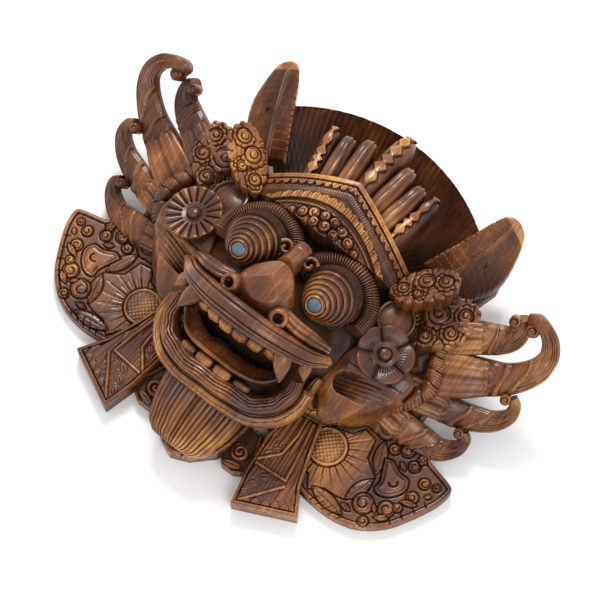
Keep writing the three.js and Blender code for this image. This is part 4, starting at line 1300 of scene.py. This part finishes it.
def roundel(side):
    """Large disc with a round boss in a dished face."""
    def shape(points):
        x, y, z = points.T
        r = np.hypot(x, y)
        z, dark, rim = (rayed if side < 0 else petalled)(r, np.arctan2(y, x), z)
        scale = np.where(r > 12, rim, 1)
        # Painted shade: the back of the disc, under the roundel, is darkened.
        return np.column_stack([x * scale, y * scale, z]), np.clip(dark + 0.7 * (z < -7), 0, 1)

    profile = [[0, -8], [13, -8], [20, -7.5], [21.8, -6], [22.3, -3.5], [ROUNDEL_RADIUS, -1.4], [22.2, -0.3],
               [21.4, 0.1]]
    profile += [[r, 0.1 - 3.2 * (1 - ((r - 5) / 16.4)) ** 1.2] for r in np.linspace(20.4, 6, 22)]
    profile += [[5.2, -3.6], [4.8, -3.3], [4.5, -1.2], [3.9, -0.2], [2.6, 0.5], [0, 0.8]]
    return turned(profile, 216, (side * ROUNDEL[0], *ROUNDEL[1:]), 0, side * ROUNDEL_TILT, shape=shape)


def roundel_stem(side):
    """Round post that carries a roundel."""
    profile = [[0, -46], [14.5, -46], [13.5, -30], [13, -6.5], [0, -6.5]]
    # Painted shade: the whole post, under its roundel, is darkened.
    return turned(profile, 40, (side * ROUNDEL[0], *ROUNDEL[1:]), 0, side * ROUNDEL_TILT,
                  recess=lambda p: np.full(len(p), 0.6))


def crescent():
    """Plain disc with a raised rim and a low boss, half hidden by its neighbours."""
    profile = [[0, -40], [14.6, -40], [15.4, -4], [15.2, -1], [14.6, 0.6], [13.4, 0.8], [12.8, 0],
               [12.2, -1.4], [11.2, -1.6], [8.6, -0.8], [4.4, 0], [0, 0.3]]

    def stained_and_shaded(p):
        ring = np.abs(np.hypot(p[:, 0], p[:, 1]) - 12)
        return np.where(ring < 0.8, 0.6, 0.05)

    return turned(profile, 64, CRESCENT, 0, 0.2, recess=stained_and_shaded)


# ---- the whole model ----
wood = carved_wood()
stone = pupil_stone()
NODE, SLOT = "carved_mask", "carved_wood"

face = Carving("face_carving", NODE, SLOT, wood)
face.add(cut_mouth(head()))
face.add(cut_mouth(chin()))
for side in (-1, 1):
    face.add(eye(), side)
    face.add(brow(22.5, 2.4, 0, 2), side)
    face.add(brow(29.5, 7.5, 50, 2), side)
    face.add(nostril(), side)
    face.add(nose_wing(), side)
    face.add(coil_rope(11, 3, 104, 6.5, 2.0, 0.4, 1), side)
face.add(nose())
face.add(rope([[0, -14, 112, 8, 12], [0, -4, 104, 8.5, 13], [0, 8, 98, 9, 13]], along=30, around=24))
face.add(turned([[0, -8], [8, -8], [8, 0], [6.8, 3.4], [3.4, 5.2], [0, 5.8]], 6, (0, 5, 107), 0.5, 0))
face.finished()

mouth = Carving("mouth_carving", NODE, SLOT, wood)
upper = mirrored([[0, -64, 126, 9.5, 9], [20, -62.5, 122, 9.2, 9], [38, -58, 112, 8.6, 9],
                  [52, -52, 100, 7.4, 9], [62, -44, 88, 4.5, 8]])
mouth.add(muzzle_band(upper, ((-0.62, 0.07), (0.34, 0.06), (0.66, 0.08)), 1.7))
for i in range(-3, 3):
    x = (i + 0.5) * 12
    mouth.add(block(-69 + 0.007 * x * x, x, 110 - 0.012 * x * x, (12.6, 13, 12), -0.25, 0.012 * x))
wall = mirrored([[0, -84, 85.5, 8.5, 3], [20, -82.5, 82, 8.5, 3], [33, -76, 77, 7, 3], [41, -68, 75, 4.5, 3]])
mouth.add(muzzle_band(wall, ((0.1, 0.03), (0.45, 0.03)), 0.5, 0.08, front=(0, 0.72, 0.7)))
rim = mirrored([[0, -90.5, 92, 2.2, 7], [20, -89, 88.5, 2.2, 7], [34, -83, 82, 2.2, 7],
                [43, -73, 80, 2.2, 7]])
mouth.add(muzzle_band(rim, ((0.0, 0.2),), 0.2))
for x in (-24, -8, 8, 24):
    mouth.add(block(-95.5 + 0.002 * x * x, x, 86 - 0.013 * x * x, (14.5, 9, 9), 0.5, 0.011 * x))
lip = mirrored([[0, -102, 78, 7.5, 11], [18, -101.5, 76, 7.5, 11], [36, -97, 70, 7.5, 11],
                [48, -88, 68, 7, 11], [54, -76, 72, 6.5, 10], [54, -64, 80, 4.5, 9]])
mouth.add(muzzle_band(lip, ((-0.5, 0.06), (-0.15, 0.05), (0.22, 0.07), (0.62, 0.08)), 1.3, 0.2))
jaw = mirrored([[0, -108.5, 62, 6.5, 10], [20, -108, 60, 6.5, 10], [40, -103, 56, 6.5, 10],
                [54, -92, 54, 6.5, 10], [62, -78, 56, 6, 10], [63, -64, 62, 4.5, 9]])
mouth.add(muzzle_band(jaw, ((-0.35, 0.08), (0.35, 0.05)), 0.9, 0.1, worn=0.35))
for side in (-1, 1):
    mouth.add(fang([[38, -56, 106, 6.5, 6], [39.5, -63, 107, 7.6, 6], [43, -70, 103, 6.2, 5],
                    [46, -76, 98, 2.8, 2.6], [47, -79, 96, 0.6, 0.6]]), side)
    mouth.add(fang([[52, -55, 98, 5, 5], [56, -60, 97, 5.2, 4.4], [60, -66, 92, 0.8, 0.8]]), side)
mouth.add(beard())
back_plates(mouth)
mouth.finished()

for side, name in ((-1, "left"), (1, "right")):
    wing = Carving(f"{name}_wing_carving", NODE, SLOT, wood)
    for stations, stalk, collar in zip(PLUMES, (0.26, 0.23, 0.32, 0.22), (0.36, 0.30, 0.42, 0.34)):
        wing.add(plume(stations, stalk, collar), side)
    for knob in KNOBS:
        wing.add(curl_knob(*knob), side)
    wing.add(wing_root(), side)
    wing.add(scale_band(), side)
    wing.finished()
    lower = Carving(f"{name}_flap_carving", NODE, SLOT, wood)
    lower.add(flap(), side)
    lower.add(ribbon(), side)
    lower.finished()
    cheek = Carving(f"{name}_ear_carving", NODE, SLOT, wood)
    for part in (outer_panel(), tongue(), ear_leaf(), tendril(), ear_back(), crescent()):
        cheek.add(part, side)
    cheek.add(roundel(side))
    cheek.add(roundel_stem(side))
    cheek.finished()
    inlay = Carving(f"{name}_pupil_inlay", f"pupil_{name}", "pupil_inlay", stone)
    inlay.add(pupil(), side)
    inlay.finished()

crown = Carving("crown_carving", NODE, SLOT, wood)
crown.add(diadem())
crown.add(halo())
crown.add(flame(0, 2, 66, 70, 10.5, 8))
for side in (-1, 1):
    crown.add(flame(side * 14, side * 5, 48, 76, 8, 0))
    crown.add(flame(side * 26, side * 8, 46, 74, 8, 0))
    crown.add(flame(side * 38, side * 10, 50, 72, 8.2, 7))
    crown.add(feather(), side)
    crown.add(second_feather(), side)
crown.finished()

# ---- stage ----
scene = bpy.context.scene
floor_mesh = bpy.data.meshes.new("floor")
bm = bmesh.new()
bmesh.ops.create_grid(bm, x_segments=1, y_segments=1, size=6)
bm.to_mesh(floor_mesh)
bm.free()
floor = placed("floor", floor_mesh)
paper = Finish("pale_paper")
paper.shader.inputs["Base Color"].default_value = (0.93, 0.93, 0.93, 1)
paper.shader.inputs["Roughness"].default_value = 0.9
floor_mesh.materials.append(paper.material)

world = bpy.data.worlds.new("studio")
scene.world = world
world.use_nodes = True
world.node_tree.nodes["Background"].inputs[0].default_value = (1, 1, 1, 1)
world.node_tree.nodes["Background"].inputs[1].default_value = 0.85


def softbox(name, place, size, power, colour):
    data = bpy.data.lights.new(name, "AREA")
    data.shape, data.size, data.energy, data.color = "DISK", size, power, colour
    lamp = placed(name, data)
    lamp.location = place
    lamp.rotation_euler = (LIT_SPOT - Vector(place)).to_track_quat("-Z", "Y").to_euler()


LIT_SPOT = Vector((0, 0, 0.05))
softbox("key_softbox", (-0.55, 0.75, 1.35), 0.5, 16, (1, 0.98, 0.95))
softbox("fill_softbox", (0.9, -0.5, 1.2), 0.9, 7, (0.95, 0.97, 1))

azimuth, elevation, distance, per_pixel = math.radians(38.2), math.radians(70.0), 1.6, 1.3
right = Vector((math.cos(azimuth), math.sin(azimuth), 0))
flat = math.cos(elevation)
back = Vector((math.sin(azimuth) * flat, -math.cos(azimuth) * flat, math.sin(elevation)))
up = back.cross(right)
camera_data = bpy.data.cameras.new("camera")
camera_data.sensor_width = 36
camera_data.lens = 36 * per_pixel * distance * 1000 / 600
camera_data.clip_end = 20
camera = placed("camera", camera_data)
aim = Vector((0, (12 + TO_CENTRE) / 1000, 0.020))
spot = aim + back * distance - right * 0.0037 - up * 0.0092
pose = Matrix((right, up, back)).transposed().to_4x4()
pose.translation = spot
camera.matrix_world = pose
scene.camera = camera
scene.view_settings.view_transform = "Standard"
scene.view_settings.exposure = 0.0
